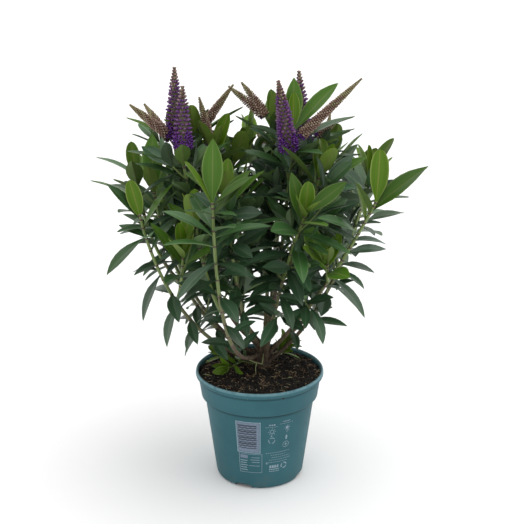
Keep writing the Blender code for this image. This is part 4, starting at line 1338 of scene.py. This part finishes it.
# %% Grow the plant
curves = {mass.name: stem_curves(mass) for mass in MASSES}
space = crown_space(curves)
open_slots, shaded_slots, stem_nodes = [], [], []
for mass in MASSES:
    for number, curve in enumerate(curves[mass.name]):
        slots, shaded, nodes = leaf_slots(mass, number, curve)
        open_slots += [(slot[2], mass.name, number, slot) for slot in slots]
        shaded_slots += [(slot[2], mass.name, number, slot) for slot in shaded]
        stem_nodes += [(mass, number, *node) for node in nodes]
open_slots.sort(key=lambda slot: slot[0])
shaded_slots.sort(key=lambda slot: slot[0])
leaves = put_known(space, curves)
print("known leaves:", len(leaves))
known_leaves = {mass.name: [one.leaf for one in leaves if one.mass == mass.name]
                for mass in MASSES}
leaves += put_leaves(space, open_slots, curves, known_leaves)
print("leaves in the open:", len(leaves))
leaves += put_leaves(space, shaded_slots, curves, known_leaves)
print("with the shaded ones:", len(leaves), "on", len(stem_nodes), "nodes")

# %% [markdown]
# ## Side shoots
# In the corner between a leaf and the stem sits a bud, and many of these have begun to grow.
# Each short side shoot is one finer step of the same rule: a stem of its own, with two or three
# pairs of small leaves.  They fill the middle of the crown as on the real plant, and on the two
# sprouts at the foot of the trunk they are half as long.

# %% Grow the side shoots
SHOOT_LENGTHS = (12 * MM, 36 * MM)
SHOOT_ANGLE = 46
SHOOT_CHANCE = 0.9
SHOOT_FROM, SHOOT_TO = 3, 14


def is_inside(spot):
    """Whether a spot is in the shaded middle of the crown, which widens upwards."""
    reach = math.hypot(spot.x - TRUNK_FOOT.x, spot.y - TRUNK_FOOT.y)
    height = spot.z - SOIL_CROWN
    return reach < min(16 * MM + 0.66 * height, 46 * MM + 0.36 * height)


shoot_curves = {mass.name: [] for mass in MASSES}
shoot_slots = []
for mass, number, distance, turn, k in stem_nodes:
    rng = random.Random(f"{mass.name} shoot {number} {k}")
    for side in (0, 180):
        wanted = rng.random() < SHOOT_CHANCE
        length = rng.uniform(*SHOOT_LENGTHS)
        wander = rng.uniform(-12, 12)
        sprout = mass not in BOUGHED
        if not wanted or not (1 if sprout else SHOOT_FROM) <= k <= SHOOT_TO:
            continue
        length *= 0.5 if sprout else 1
        curve = curves[mass.name][number]
        root, direction = along(curve, distance + 1.5 * MM)
        across = side_of(direction)
        angle = math.radians(turn + side + wander)
        out = across * math.cos(angle) + direction.cross(across) * math.sin(angle)
        lift = math.radians(SHOOT_ANGLE + wander)
        heading = direction * math.cos(lift) + out * math.sin(lift)
        tip = root + heading * length + Vector((0, 0, 0.2 * length))
        shoot = bend_curve(root, root + heading * length * 0.5, tip, 6)
        thick = (0.7 * MM, 0.5 * MM) if sprout else (1.6 * MM, 1.2 * MM)
        probe = tube(shoot[2:], (0, length_of(shoot[2:])), thick, 4)
        if lowest(probe) < (LOWEST_SPROUT_LEAF if sprout else LOWEST_LEAF) or not is_inside(tip):
            continue
        if not space.is_clear(probe, probe, mass.name, number):
            continue
        index = len(shoot_curves[mass.name])
        shoot_curves[mass.name].append(shoot)
        space.add(probe, (mass.name, "shoot%d" % index))
        reach = length_of(shoot)
        turn_of = rng.uniform(0, 180)
        for pair, share in enumerate((1.0, 0.72, 0.4)):
            if reach * share < (3 if sprout else 9) * MM:
                continue
            for flank in (0, 180):
                size = (0.62 + 0.08 * pair) * rng.uniform(0.8, 1.2) * (0.5 if sprout else 1)
                slot = (reach * share - 0.8 * MM, turn_of + 90 * pair + flank, pair + 1, size,
                        rng.uniform(-8, 8))
                shoot_slots.append((pair, mass.name, index, slot))
shoot_slots.sort(key=lambda slot: slot[0])
small_leaves = put_leaves(space, shoot_slots, shoot_curves, known_leaves, "small leaf")
print("side shoots:", sum(map(len, shoot_curves.values())), "small leaves:", len(small_leaves))

# %% [markdown]
# ## Bark
# The trunk and the feet of the boughs are brown, cracked lengthways and knobbly where leaves
# have dropped.  The relief has to show on the outline too, so it is in the mesh: many rings, each
# pushed in and out by noise, with a low collar at every leaf scar.  Colour follows in the shader.

# %% Bark finish
bark = Surface("bark", 0.85)
plates = bark.noise(260, 6, 0.65, (1, 1, 0.3))
lichen = bark.band(bark.noise(90, 4), 0.58, 0.75)
bark_height = bark.graph.node("ShaderNodeSeparateXYZ", None, {"Vector": bark.place}, output="Z")
bark_tone = bark.ramp(plates, ((0.30, (0.018, 0.011, 0.007)), (0.50, (0.055, 0.035, 0.021)),
                               (0.68, (0.115, 0.078, 0.047))))
bark_tone = bark.blend(lichen * 0.35, bark_tone, (0.12, 0.12, 0.075))
greener = bark.band(bark_height, 0.165, 0.215)
bark_tone = bark.blend(greener * 0.55, bark_tone, (0.115, 0.105, 0.038))
bark.feed("Base Color", bark_tone)
bark.bump(plates, 0.0012, 0.8)


# %% Relief on a tube
def rough_tube(line, stations, radius_at, sides, relief):
    """A closed tube with bark relief; radius_at gives the radius at a distance and an angle."""
    points, faces = [], []
    for distance in stations:
        centre, direction = along(line, distance)
        across = side_of(direction)
        other = direction.cross(across)
        for side in range(sides):
            angle = 2 * math.pi * side / sides
            outward = math.cos(angle) * across + math.sin(angle) * other
            spot = centre + outward * radius_at(distance, angle)
            crack = noise.fractal(Vector((spot.x, spot.y, spot.z * 0.28)) * 420, 0.6, 2.0, 4)
            points.append(spot + outward * crack * relief)
    count = len(points)
    for ring in range(0, count - sides, sides):
        for side in range(sides):
            after = (side + 1) % sides
            faces.append((ring + side, ring + after, ring + sides + after, ring + sides + side))
    faces.append(tuple(reversed(range(sides))))
    faces.append(tuple(range(count - sides, count)))
    return points, faces


def scar_swelling(distance, spacing):
    """A low round collar at each leaf scar."""
    return 0.42 * MM * math.exp(-((distance % spacing - spacing / 2) / (1.5 * MM)) ** 2)


# %% Trunk and boughs
bark_points, bark_faces = [], []


def add_bark(points, faces):
    start = len(bark_points)
    bark_points.extend(points)
    bark_faces.extend(tuple(start + corner for corner in face) for face in faces)


foot_depth = 3 * MM
trunk_line = [TRUNK_FOOT - TRUNK_LEAN.normalized() * foot_depth, trunk_point(1.0)]
trunk_length = TRUNK_LEAN.length


def trunk_relief(distance, angle):
    share = min(1.0, max(0.0, (distance - foot_depth) / trunk_length))
    top = max(0.0, (share - 0.86) / 0.14)
    return trunk_radius(share, math.degrees(angle)) * (1 - 0.35 * top ** 2)


trunk_stations = [(trunk_length + foot_depth) * step / 42 for step in range(43)]
add_bark(*rough_tube(trunk_line, trunk_stations, trunk_relief, 56, 0.75 * MM))
for mass in BOUGHED:
    whole = main_curve(mass)
    inside = 4 * MM
    line = [whole[0] - (whole[1] - whole[0]).normalized() * inside] + whole

    def bough_relief(distance, angle):
        share = min(1.0, distance / (BOUGH_LENGTH + inside))
        radius = BOUGH_RADII[0] + (BOUGH_RADII[1] - BOUGH_RADII[0]) * share
        flare = 1.6 * MM * math.exp(-distance / (5 * MM))
        return radius + flare + scar_swelling(distance, 13 * MM)

    stations = [(BOUGH_LENGTH + inside + 1 * MM) * step / 40 for step in range(41)]
    add_bark(*rough_tube(line, stations, bough_relief, 18, 0.28 * MM))
limbs = mesh_object("bark_limbs", bark_points, bark_faces, [bark.material], sharp=60)
place(limbs, "bark", "trunk", *["bough_" + mass.name for mass in BOUGHED])

# %% [markdown]
# ## Stems
# Above the boughs the stems are smooth: olive where they are older, yellow-green near the tip,
# with a purplish ring at each pair of leaves.  Each is a path with its own thickness.  One
# geometry tree turns paths into tubes, so rings, stalks and side shoots all use it too.

# %% Tube tree
graph, inputs = geometry_graph("tube along paths", {"Sides": ("Int", 8),
                                                    "Finish": ("Material", None)})
thickness = graph.node("GeometryNodeInputNamedAttribute", {"data_type": "FLOAT"},
                       {"Name": "thickness"})
paths = graph.node("GeometryNodeMeshToCurve", None, {"Mesh": inputs["Geometry"]})
paths = graph.node("GeometryNodeSetCurveRadius", None, {"Curve": paths, "Radius": thickness})
circle = graph.node("GeometryNodeCurvePrimitiveCircle", None,
                    {"Resolution": inputs["Sides"], "Radius": 1.0})
tubes = graph.node("GeometryNodeCurveToMesh", None,
                   {"Curve": paths, "Profile Curve": circle, "Fill Caps": True})
if "Scale" in tubes.socket.node.inputs:
    graph.tree.links.new(graph.node("GeometryNodeInputRadius").socket,
                         tubes.socket.node.inputs["Scale"])
tubes = graph.node("GeometryNodeRealizeInstances", None, {0: tubes})
tubes = graph.node("GeometryNodeSetMaterial", None,
                   {"Geometry": tubes, "Material": inputs["Finish"]})
tube_tree = close_graph(graph, tubes)


class Paths:
    """Runs of points with a radius at each, which the tube tree makes round."""

    def __init__(self):
        self.points, self.edges, self.radii = [], [], []

    def add(self, points, radii):
        start = len(self.points)
        self.points += points
        self.radii += radii
        self.edges += [(start + step, start + step + 1) for step in range(len(points) - 1)]

    def stretch(self, curve, begin, end, radius_at, step=7 * MM):
        """Add the part of a curve between two distances."""
        count = max(2, round((end - begin) / step))
        distances = [begin + (end - begin) * number / count for number in range(count + 1)]
        self.add([along(curve, distance)[0] for distance in distances],
                 [radius_at(distance) for distance in distances])

    def grown(self, name, sides, finish):
        """The paths as one mesh of tubes."""
        mesh = bpy.data.meshes.new(name)
        mesh.from_pydata([tuple(point) for point in self.points], self.edges, [])
        attribute = mesh.attributes.new("thickness", "FLOAT", "POINT")
        attribute.data.foreach_set("value", self.radii)
        base = bpy.data.objects.new(name + "_paths", mesh)
        bpy.context.scene.collection.objects.link(base)
        made = run_tree(base, tube_tree, name, Sides=sides, Finish=finish)
        bpy.data.objects.remove(base, do_unlink=True)
        made.data.shade_smooth()
        made.data.set_sharp_from_angle(angle=math.radians(60))
        return made


# %% Stems, rings and side shoots
GREEN_LENGTH = 120 * MM
OLIVE_LENGTH = 90 * MM
green_stem = plain("green stem", (0.155, 0.215, 0.060), 0.42)
olive_stem = plain("olive stem", (0.120, 0.125, 0.048), 0.5)
brown_stem = plain("brown stem", (0.095, 0.070, 0.040), 0.65)
ring_finish = plain("leaf ring", (0.085, 0.040, 0.045), 0.5)

green, olive, brown, rings = Paths(), Paths(), Paths(), Paths()
for mass in MASSES:
    for number, curve in enumerate(curves[mass.name]):
        total = length_of(curve)

        def radius_at(distance):
            return twig_radius(min(total, max(0, distance)), total) * mass.size

        first_green = max(0.0, total - GREEN_LENGTH)
        first_olive = max(0.0, first_green - OLIVE_LENGTH)
        green.stretch(curve, first_green, total, radius_at)
        if first_green > 0:
            olive.stretch(curve, first_olive, first_green + 0.5 * MM, radius_at)
        if first_olive > 0:
            brown.stretch(curve, 0, first_olive + 0.5 * MM, radius_at)
    for shoot in shoot_curves[mass.name]:
        total = length_of(shoot)
        thick = min(1.25, mass.size * 1.4) * MM
        green.stretch(shoot, 0, total, lambda distance: thick * (1 - 0.32 * distance / total),
                      4 * MM)
for mass, number, distance, turn, k in stem_nodes:
    curve = curves[mass.name][number]
    radius = twig_radius(distance, length_of(curve)) * mass.size
    spread = (-1.3, -0.8, 0, 0.8, 1.3)
    rings.add([along(curve, distance + offset * MM * mass.size)[0] for offset in spread],
              [radius * swell for swell in (0.9, 1.13, 1.22, 1.1, 0.9)])
stems = join([green.grown("green", 9, green_stem), olive.grown("olive", 9, olive_stem),
              brown.grown("brown", 9, brown_stem), rings.grown("rings", 9, ring_finish)], "stems")
place(stems, "foliage")

# %% [markdown]
# ## Leaves
# A hebe leaf is leathery: a narrow oval with a pale rib, folded a little along it, dark and
# shiny above and paler beneath.  Every leaf bends in its own way, so they are made from arrays
# of points.  Six strips of faces across the upper side and four beneath let the rib, the blade
# and the underside take plain colours of their own, and the tone is dealt out by age and stem.

# %% Leaf tones
TONES = {
    "young": ((0.072, 0.150, 0.008), (0.082, 0.166, 0.011), (0.150, 0.190, 0.032),
              (0.180, 0.250, 0.052), (0.118, 0.190, 0.030), (0.140, 0.178, 0.042)),
    "middle": ((0.054, 0.132, 0.012), (0.061, 0.144, 0.015), (0.112, 0.172, 0.038),
               (0.120, 0.196, 0.046), (0.098, 0.168, 0.036), (0.118, 0.162, 0.046)),
    "grown": ((0.034, 0.098, 0.024), (0.039, 0.108, 0.028), (0.088, 0.152, 0.064),
              (0.074, 0.138, 0.050), (0.082, 0.144, 0.052), (0.104, 0.148, 0.062)),
    "old": ((0.027, 0.073, 0.031), (0.032, 0.083, 0.036), (0.076, 0.126, 0.068),
            (0.058, 0.106, 0.054), (0.066, 0.114, 0.058), (0.088, 0.126, 0.062)),
}
SHEEN = {"young": 0.15, "middle": 0.2, "grown": 0.45, "old": 0.6}
PARTS = ("blade", "middle", "rib", "margin", "under", "under rib")
TONE_SPREAD = (0.74, 1.0, 1.28)
AGE_NAMES = tuple(TONES)
leaf_materials, leaf_slot = [], {}
for age_name, colours in TONES.items():
    for shade, spread in enumerate(TONE_SPREAD):
        for part, colour in zip(PARTS, colours):
            leaf_slot[age_name, shade, part] = len(leaf_materials)
            gloss = 0.55 if part.startswith("under") else 0.40
            leaf_materials.append(plain(f"{age_name} leaf {part} {shade}",
                                        tuple(c * spread for c in colour), gloss,
                                        Specular_IOR_Level=SHEEN[age_name]))
print("leaf materials:", len(leaf_materials))

# %% Leaf blades
ROW_SHARES = (0.0, 0.08, 0.2, 0.34, 0.48, 0.62, 0.75, 0.87, 0.95, 1.0)
LANCE = ((0.0, 0.13), (0.08, 0.2), (0.2, 0.5), (0.34, 0.86), (0.48, 1.0), (0.62, 0.96),
         (0.75, 0.78), (0.87, 0.46), (0.95, 0.2), (1.0, 0.0))
OVAL = ((0.0, 0.15), (0.08, 0.28), (0.2, 0.6), (0.34, 0.88), (0.48, 1.0), (0.62, 1.0),
        (0.75, 0.91), (0.87, 0.7), (0.95, 0.42), (1.0, 0.0))
AGE_WIDTHS = (1.34, 1.28, 1.12, 0.98, 0.93)
UPPER_COLUMNS = (-1, -0.87, -0.44, -0.08, 0.08, 0.44, 0.87, 1)
UPPER_LIFTS = (0.17, 0.16, 0.09, -0.01, -0.01, 0.09, 0.16, 0.17)
UNDER_COLUMNS = (-0.1, 0, 0.1)
UPPER_PARTS = ("margin", "blade", "middle", "rib", "middle", "blade", "margin")
UNDER_PARTS = ("under", "under rib", "under rib", "under")


def blade_points(leaf, outline, width, twist, wave):
    """The rows of points of one blade: eight on the upper side and three beneath."""
    points = []
    for share in ROW_SHARES[:-1]:
        centre, heading, top = leaf_point(leaf, share)
        across = heading.cross(top)
        tilt = Matrix.Rotation(twist * share, 3, heading)
        across, top = tilt @ across, tilt @ top
        reach = leaf.length * width / 2 * interpolate(outline, share)
        ripple = wave * leaf.length * math.sin(9 * share + wave * 900) * share
        for column, lift in zip(UPPER_COLUMNS, UPPER_LIFTS):
            rise = lift * reach + ripple * column
            points.append(centre + across * reach * column + top * rise)
        depth = leaf.length * 0.008 + 0.25 * MM * (1 - share)
        for column in UNDER_COLUMNS:
            keel = depth * (1.8 if column == 0 else 1.0) + 0.04 * reach
            points.append(centre + across * reach * column - top * keel)
    points.append(leaf_point(leaf, 1.0)[0])
    return points


def blade_faces():
    """Faces of a blade over its rows, with the part of the leaf that each belongs to."""
    faces, parts = [], []
    width = len(UPPER_COLUMNS) + len(UNDER_COLUMNS)
    under = (7, 10, 9, 8, 0)
    rows = len(ROW_SHARES) - 1
    for row in range(rows):
        start, after, tip = row * width, (row + 1) * width, rows * width
        for columns, names in ((range(8), UPPER_PARTS), (under, UNDER_PARTS)):
            for (a, b), name in zip(zip(columns, columns[1:]), names):
                if row == rows - 1:
                    faces.append((start + a, start + b, tip))
                else:
                    faces.append((start + a, start + b, after + b, after + a))
                parts.append(name)
    faces.append((0, 8, 9, 10, 7, 6, 5, 4, 3, 2, 1))
    parts.append("under rib")
    return faces, parts


BLADE_FACES, BLADE_PARTS = blade_faces()


def age_of(k, small, fresh):
    """The age name of a leaf; the fresh sprouts at the foot of the trunk stay bright longer."""
    if fresh:
        return "young" if k < 5 else "middle"
    # Painted shade: leaves of the side shoots, deep in the crown, take the darker grown and old
    # tones.
    if small:
        return "grown" if k < 2 else "old"
    return AGE_NAMES[(0, 0, 1, 2, 2, 3)[min(k, 5)]]


# %% Join the blades
def leaf_piece(name, grown, small=False):
    """Join blades into one mesh, each with the tones of its age and stem."""
    points, faces, slots = [], [], []
    for number, item in enumerate(grown):
        rng = random.Random(f"{item.mass} {item.number} {item.k} {number}")
        width = LEAF_WIDTH * AGE_WIDTHS[min(item.k, 4)] * rng.uniform(0.92, 1.08)
        outline = OVAL if item.k < 2 else LANCE
        twist = math.radians(rng.uniform(-22, 22))
        wave = rng.uniform(0.002, 0.007)
        shade = rng.choice((0, 1, 1, 2))
        age = age_of(item.k, small, item.mass.startswith("sprout"))
        start = len(points)
        points += blade_points(item.leaf, outline, width, twist, wave)
        faces += [tuple(start + corner for corner in face) for face in BLADE_FACES]
        slots += [leaf_slot[age, shade, part] for part in BLADE_PARTS]
    made = mesh_object(name, points, faces, leaf_materials, slots)
    turn_outwards(made.data)
    made.data.shade_smooth()
    made.data.set_sharp_from_angle(angle=math.radians(75))
    return made


mass_nodes = ["mass_" + mass.name for mass in MASSES]
leaf_mesh_piece = leaf_piece("leaves", leaves)
place(leaf_mesh_piece, "foliage", *mass_nodes)
# The small leaves sit deep in the crown, and their darker tones are painted shade.
small_piece = leaf_piece("small_leaves", small_leaves, small=True)
place(small_piece, "foliage")

# %% [markdown]
# ## Flower spikes
# A spike is a stalk crowded with flowers in whorls of ten, each whorl turned half a step from
# the last.  The lowest flowers are open and violet, those above are violet buds that stick out
# like pegs, and the tip is a cone of small brown-pink buds.  A younger spike is thinner and has
# buds alone.  One tree makes every spike: the number of a flower gives its whorl, its angle and
# its height, and masks choose what stands there.  A third of the buds take a paler finish, so
# the rows can be told apart.


# %% Shapes of one flower
def flower_shape(name, rings, sides):
    """A closed shape on its own Z axis through (radius, height) rings; its length is about 1."""
    points, faces = [], []
    for radius, height in rings:
        points += [(radius * math.cos(2 * math.pi * side / sides),
                    radius * math.sin(2 * math.pi * side / sides), height)
                   for side in range(sides)]
    for ring in range(0, len(points) - sides, sides):
        for side in range(sides):
            after = (side + 1) % sides
            faces.append((ring + side, ring + after, ring + sides + after, ring + sides + side))
    faces.append(tuple(reversed(range(sides))))
    faces.append(tuple(range(len(points) - sides, len(points))))
    return mesh_object(name, points, faces)


# %% The open flower
def open_flower():
    """Four spread lobes on the end of a short tube."""
    points, faces = [], []
    stations = ((0.03, 0.05, 0.36), (0.055, 0.075, 0.66), (0.18, 0.115, 0.84))
    for lobe in range(4):
        turn = Matrix.Rotation(math.pi / 2 * lobe + 0.4, 3, "Z")
        a = len(points)
        for reach, half, height in stations:
            points += [tuple(turn @ Vector((reach, -half, height))),
                       tuple(turn @ Vector((reach, half, height)))]
        points.append(tuple(turn @ Vector((0.29, 0, 0.82))))
        points += [tuple(turn @ Vector((reach, 0, height - 0.05)))
                   for reach, half, height in stations[1:]]
        faces += [(a, a + 1, a + 3, a + 2), (a + 2, a + 3, a + 5, a + 4), (a + 4, a + 5, a + 6),
                  (a, a + 2, a + 7), (a + 1, a, a + 7), (a + 3, a + 1, a + 7),
                  (a + 2, a + 4, a + 8, a + 7), (a + 5, a + 3, a + 7, a + 8),
                  (a + 4, a + 6, a + 8), (a + 6, a + 5, a + 8)]
    made = mesh_object("open flower", points, faces)
    turn_outwards(made.data)
    return made


SHAPES = {"Open_flower": open_flower(),
          "Bud": flower_shape("bud", ((0.05, 0.3), (0.13, 0.48), (0.15, 0.72), (0.1, 0.92),
                                      (0.02, 1.0)), 6),
          "Calyx": flower_shape("calyx", ((0.05, 0.0), (0.085, 0.2), (0.115, 0.36),
                                          (0.12, 0.54)), 5),
          "Stamen": flower_shape("stamen", ((0.016, 0.5), (0.016, 1.08), (0.045, 1.12),
                                            (0.02, 1.2)), 4)}

# %% Spike tree
spike_inputs = {"Whorls": ("Int", 24), "Each": ("Int", 10), "Length": ("Float", 80 * MM),
                "Radius": ("Float", 13 * MM), "Taper": ("Float", 0.7),
                "Plump": ("Float", 1.2), "Open share": ("Float", 0.3),
                "Violet share": ("Float", 0.6), "Seed": ("Int", 1),
                "Open flower": ("Object", None), "Bud": ("Object", None),
                "Calyx": ("Object", None), "Stamen": ("Object", None),
                "Petal finish": ("Material", None), "Violet finish": ("Material", None),
                "Pale finish": ("Material", None), "Dusky finish": ("Material", None),
                "Light finish": ("Material", None), "Calyx finish": ("Material", None),
                "Stamen finish": ("Material", None)}
graph, inputs = geometry_graph("flower spike", spike_inputs)
flowers = graph.node("GeometryNodePoints", None, {"Count": inputs["Whorls"] * inputs["Each"]})
index = graph.node("GeometryNodeInputIndex")
whorl = (index / inputs["Each"]).maths("FLOOR")
in_whorl = index % inputs["Each"]
jitter = graph.node("FunctionNodeRandomValue", {"data_type": "FLOAT"},
                    {2: -1.0, 3: 1.0, "Seed": inputs["Seed"]}, output=1)
step = (whorl + 0.5 + jitter * 0.09) / inputs["Whorls"]
share = step * (1.22 - step * 0.22)
angle = (in_whorl + whorl * 0.5 + jitter * 0.1) / inputs["Each"] * (2 * math.pi)
outward_x, outward_y = angle.maths("COSINE"), angle.maths("SINE")
tilt = 1.42 - share ** 3 * 1.3
reach = inputs["Radius"] * (1 - inputs["Taper"] * share ** 1.15) * (1 + jitter * 0.10)
reach = reach * (1 - share ** 8 * 0.55)
core = inputs["Radius"] * 0.1
width = inputs["Radius"] * inputs["Plump"] * (1 - share * 0.5)
spot = graph.node("ShaderNodeCombineXYZ", None,
                  {"X": outward_x * core, "Y": outward_y * core,
                   "Z": share * inputs["Length"] - reach * tilt.maths("COSINE") * 0.6})
heading = graph.node("ShaderNodeCombineXYZ", None,
                     {"X": outward_x * tilt.maths("SINE"), "Y": outward_y * tilt.maths("SINE"),
                      "Z": tilt.maths("COSINE")})
flowers = graph.node("GeometryNodeSetPosition", None, {"Geometry": flowers, "Position": spot})
aim = graph.node("FunctionNodeAlignRotationToVector", {"axis": "Z"}, {"Vector": heading})
is_open = (share + jitter * 0.05) < inputs["Open share"]
is_violet = ((share + jitter * 0.12) < inputs["Violet share"]) - is_open
is_dusky = 1 - is_open - is_violet
is_pale = (index * 5 + whorl) % 3 < 1


# %% Flowers by their masks
def flower_branch(shape, finish, mask, size):
    """Put one shape on the flowers that a mask picks, as long as size, and finish it."""
    size = graph.node("ShaderNodeCombineXYZ", None, {"X": width, "Y": width, "Z": size})
    thing = graph.node("GeometryNodeObjectInfo", None, {"Object": inputs[shape]},
                       output="Geometry")
    kept = graph.node("GeometryNodeInstanceOnPoints", None,
                      {"Points": flowers, "Selection": mask, "Instance": thing,
                       "Rotation": aim, "Scale": size})
    kept = graph.node("GeometryNodeRealizeInstances", None, {0: kept})
    return graph.node("GeometryNodeSetMaterial", None,
                      {"Geometry": kept, "Material": inputs[finish]})


cone = graph.node("GeometryNodeMeshCone", None,
                  {"Vertices": 10, "Side Segments": 8, "Radius Bottom": inputs["Radius"] * 0.60,
                   "Radius Top": inputs["Radius"] * 0.12, "Depth": inputs["Length"] * 0.98})
cone = graph.node("GeometryNodeSetMaterial", None,
                  {"Geometry": cone, "Material": inputs["Calyx finish"]})
branches = [cone, flower_branch("Open flower", "Petal finish", is_open, reach * 1.04),
            flower_branch("Stamen", "Stamen finish", is_open, reach * 0.95),
            flower_branch("Bud", "Violet finish", is_violet * (1 - is_pale), reach),
            flower_branch("Bud", "Pale finish", is_violet * is_pale, reach * 0.97),
            flower_branch("Bud", "Dusky finish", is_dusky * (1 - is_pale), reach * 0.98),
            flower_branch("Bud", "Light finish", is_dusky * is_pale, reach * 0.95),
            flower_branch("Calyx", "Calyx finish", 1, reach)]
joined = graph.node("GeometryNodeJoinGeometry", None, {0: branches})
spike_tree = close_graph(graph, joined)

# %% Flower colours and the spikes
BLOOM_FINISHES = {"Petal_finish": plain("open petals", (0.150, 0.022, 0.300), 0.55),
                  "Violet_finish": plain("violet buds", (0.110, 0.026, 0.165), 0.5),
                  "Pale_finish": plain("pale violet buds", (0.185, 0.085, 0.185), 0.5),
                  "Dusky_finish": plain("brown-pink buds", (0.135, 0.060, 0.062), 0.55),
                  "Light_finish": plain("pale pink buds", (0.280, 0.200, 0.150), 0.55),
                  "Calyx_finish": plain("olive calyx", (0.105, 0.092, 0.048), 0.6),
                  "Stamen_finish": plain("stamens", (0.32, 0.20, 0.42), 0.6)}
BUD_FINISHES = dict(BLOOM_FINISHES,
                    Violet_finish=plain("pink-brown buds", (0.230, 0.135, 0.105), 0.55),
                    Pale_finish=plain("pale brown buds", (0.340, 0.250, 0.185), 0.55),
                    Dusky_finish=plain("buff buds", (0.215, 0.160, 0.085), 0.55),
                    Light_finish=plain("greenish buds", (0.290, 0.270, 0.140), 0.55),
                    Calyx_finish=plain("bud calyx", (0.085, 0.062, 0.030), 0.6))
Habit = namedtuple("Habit", "radius taper spacing plump opened violet finishes")
HABITS = {BLOOM: Habit(13 * MM, 0.62, 4.9 * MM, 1.05, 0.22, 0.8, BLOOM_FINISHES),
          BUD: Habit(7.2 * MM, 0.56, 2.6 * MM, 1.45, 0.0, 0.6, BUD_FINISHES)}

stalk_finish = plain("flower stalk", (0.120, 0.130, 0.048), 0.5)
stalks = {BLOOM: Paths(), BUD: Paths()}
spike_pieces = {BLOOM: [], BUD: []}
seed_mesh = mesh_object("spike seed", [(0, 0, 0)], [])
for mass in MASSES:
    for number, spike in enumerate(mass.spikes):
        foot, start, heading = spike_axis(curves[mass.name], spike)
        length = spike.length * MM
        habit = HABITS[spike.state]
        made = run_tree(seed_mesh, spike_tree, f"spike_{mass.name}_{number}",
                        Whorls=round(length / habit.spacing), Length=length,
                        Radius=habit.radius, Taper=habit.taper, Plump=habit.plump,
                        Open_share=habit.opened, Violet_share=habit.violet,
                        Seed=3 + number + 7 * MASSES.index(mass), **SHAPES, **habit.finishes)
        across = side_of(heading)
        turn = Matrix((across, heading.cross(across), heading)).transposed().to_4x4()
        made.data.transform(Matrix.Translation(start) @ turn)
        stalks[spike.state].stretch([foot, start + heading * length * 0.97], 0,
                                    STALK_LENGTH + length * 0.93,
                                    lambda distance: STALK_RADIUS * (1.15 - 5 * distance),
                                    12 * MM)
        spike_pieces[spike.state].append(made)
for shape in (*SHAPES.values(), seed_mesh):
    bpy.data.objects.remove(shape, do_unlink=True)
for state, pieces in spike_pieces.items():
    pieces.append(stalks[state].grown("stalks", 7, stalk_finish))
    place(join(pieces, state + "_spikes"), "foliage")

# %% [markdown]
# ## Litter on the compost
# A thin forked twig leans on the compost and two short bits lie beside it, shed by the plant.
# They are small, and they tell the eye that the surface is loose earth.

# %% Fallen twigs
def on_soil(x, y, lift=0.0):
    """A point over the mound, from millimetres across and a lift in millimetres."""
    return Vector((x * MM, y * MM, soil_height(x * MM, y * MM) + (lift + 0.9) * MM))


TWIGS = ((((-25, -11, 24), (-16, -13, 20.6), (-7, -14, 17), (4, -14, 13)), (0.5, 0.8, 0.85, 0.6)),
         (((3, -14, 13.2), (4.4, -13.6, 20), (5, -13, 28)), (0.6, 0.6, 0.35)),
         (((-4, -14, 15.8), (-5.4, -16, 9), (-5, -19, 0.2)), (0.6, 0.6, 0.4)),
         (((-75, -12, 0.6), (-70, -14, 1.6), (-63, -20, 0.4)), (0.35, 0.6, 0.35)),
         (((36, -28, 0.2), (39, -26, 0.8), (43, -27, 0.3)), (0.5, 0.8, 0.4)))
litter = Paths()
for spots, radii in TWIGS:
    litter.add([on_soil(*spot) for spot in spots], [radius * MM for radius in radii])
scraps = litter.grown("fallen_twigs", 7, plain("fallen twig", (0.24, 0.27, 0.115), 0.6))
place(scraps, "foliage")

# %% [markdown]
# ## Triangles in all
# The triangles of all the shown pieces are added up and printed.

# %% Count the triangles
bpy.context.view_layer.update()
print("triangles in all:", sum(triangles(piece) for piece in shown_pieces() if piece.type == "MESH"))
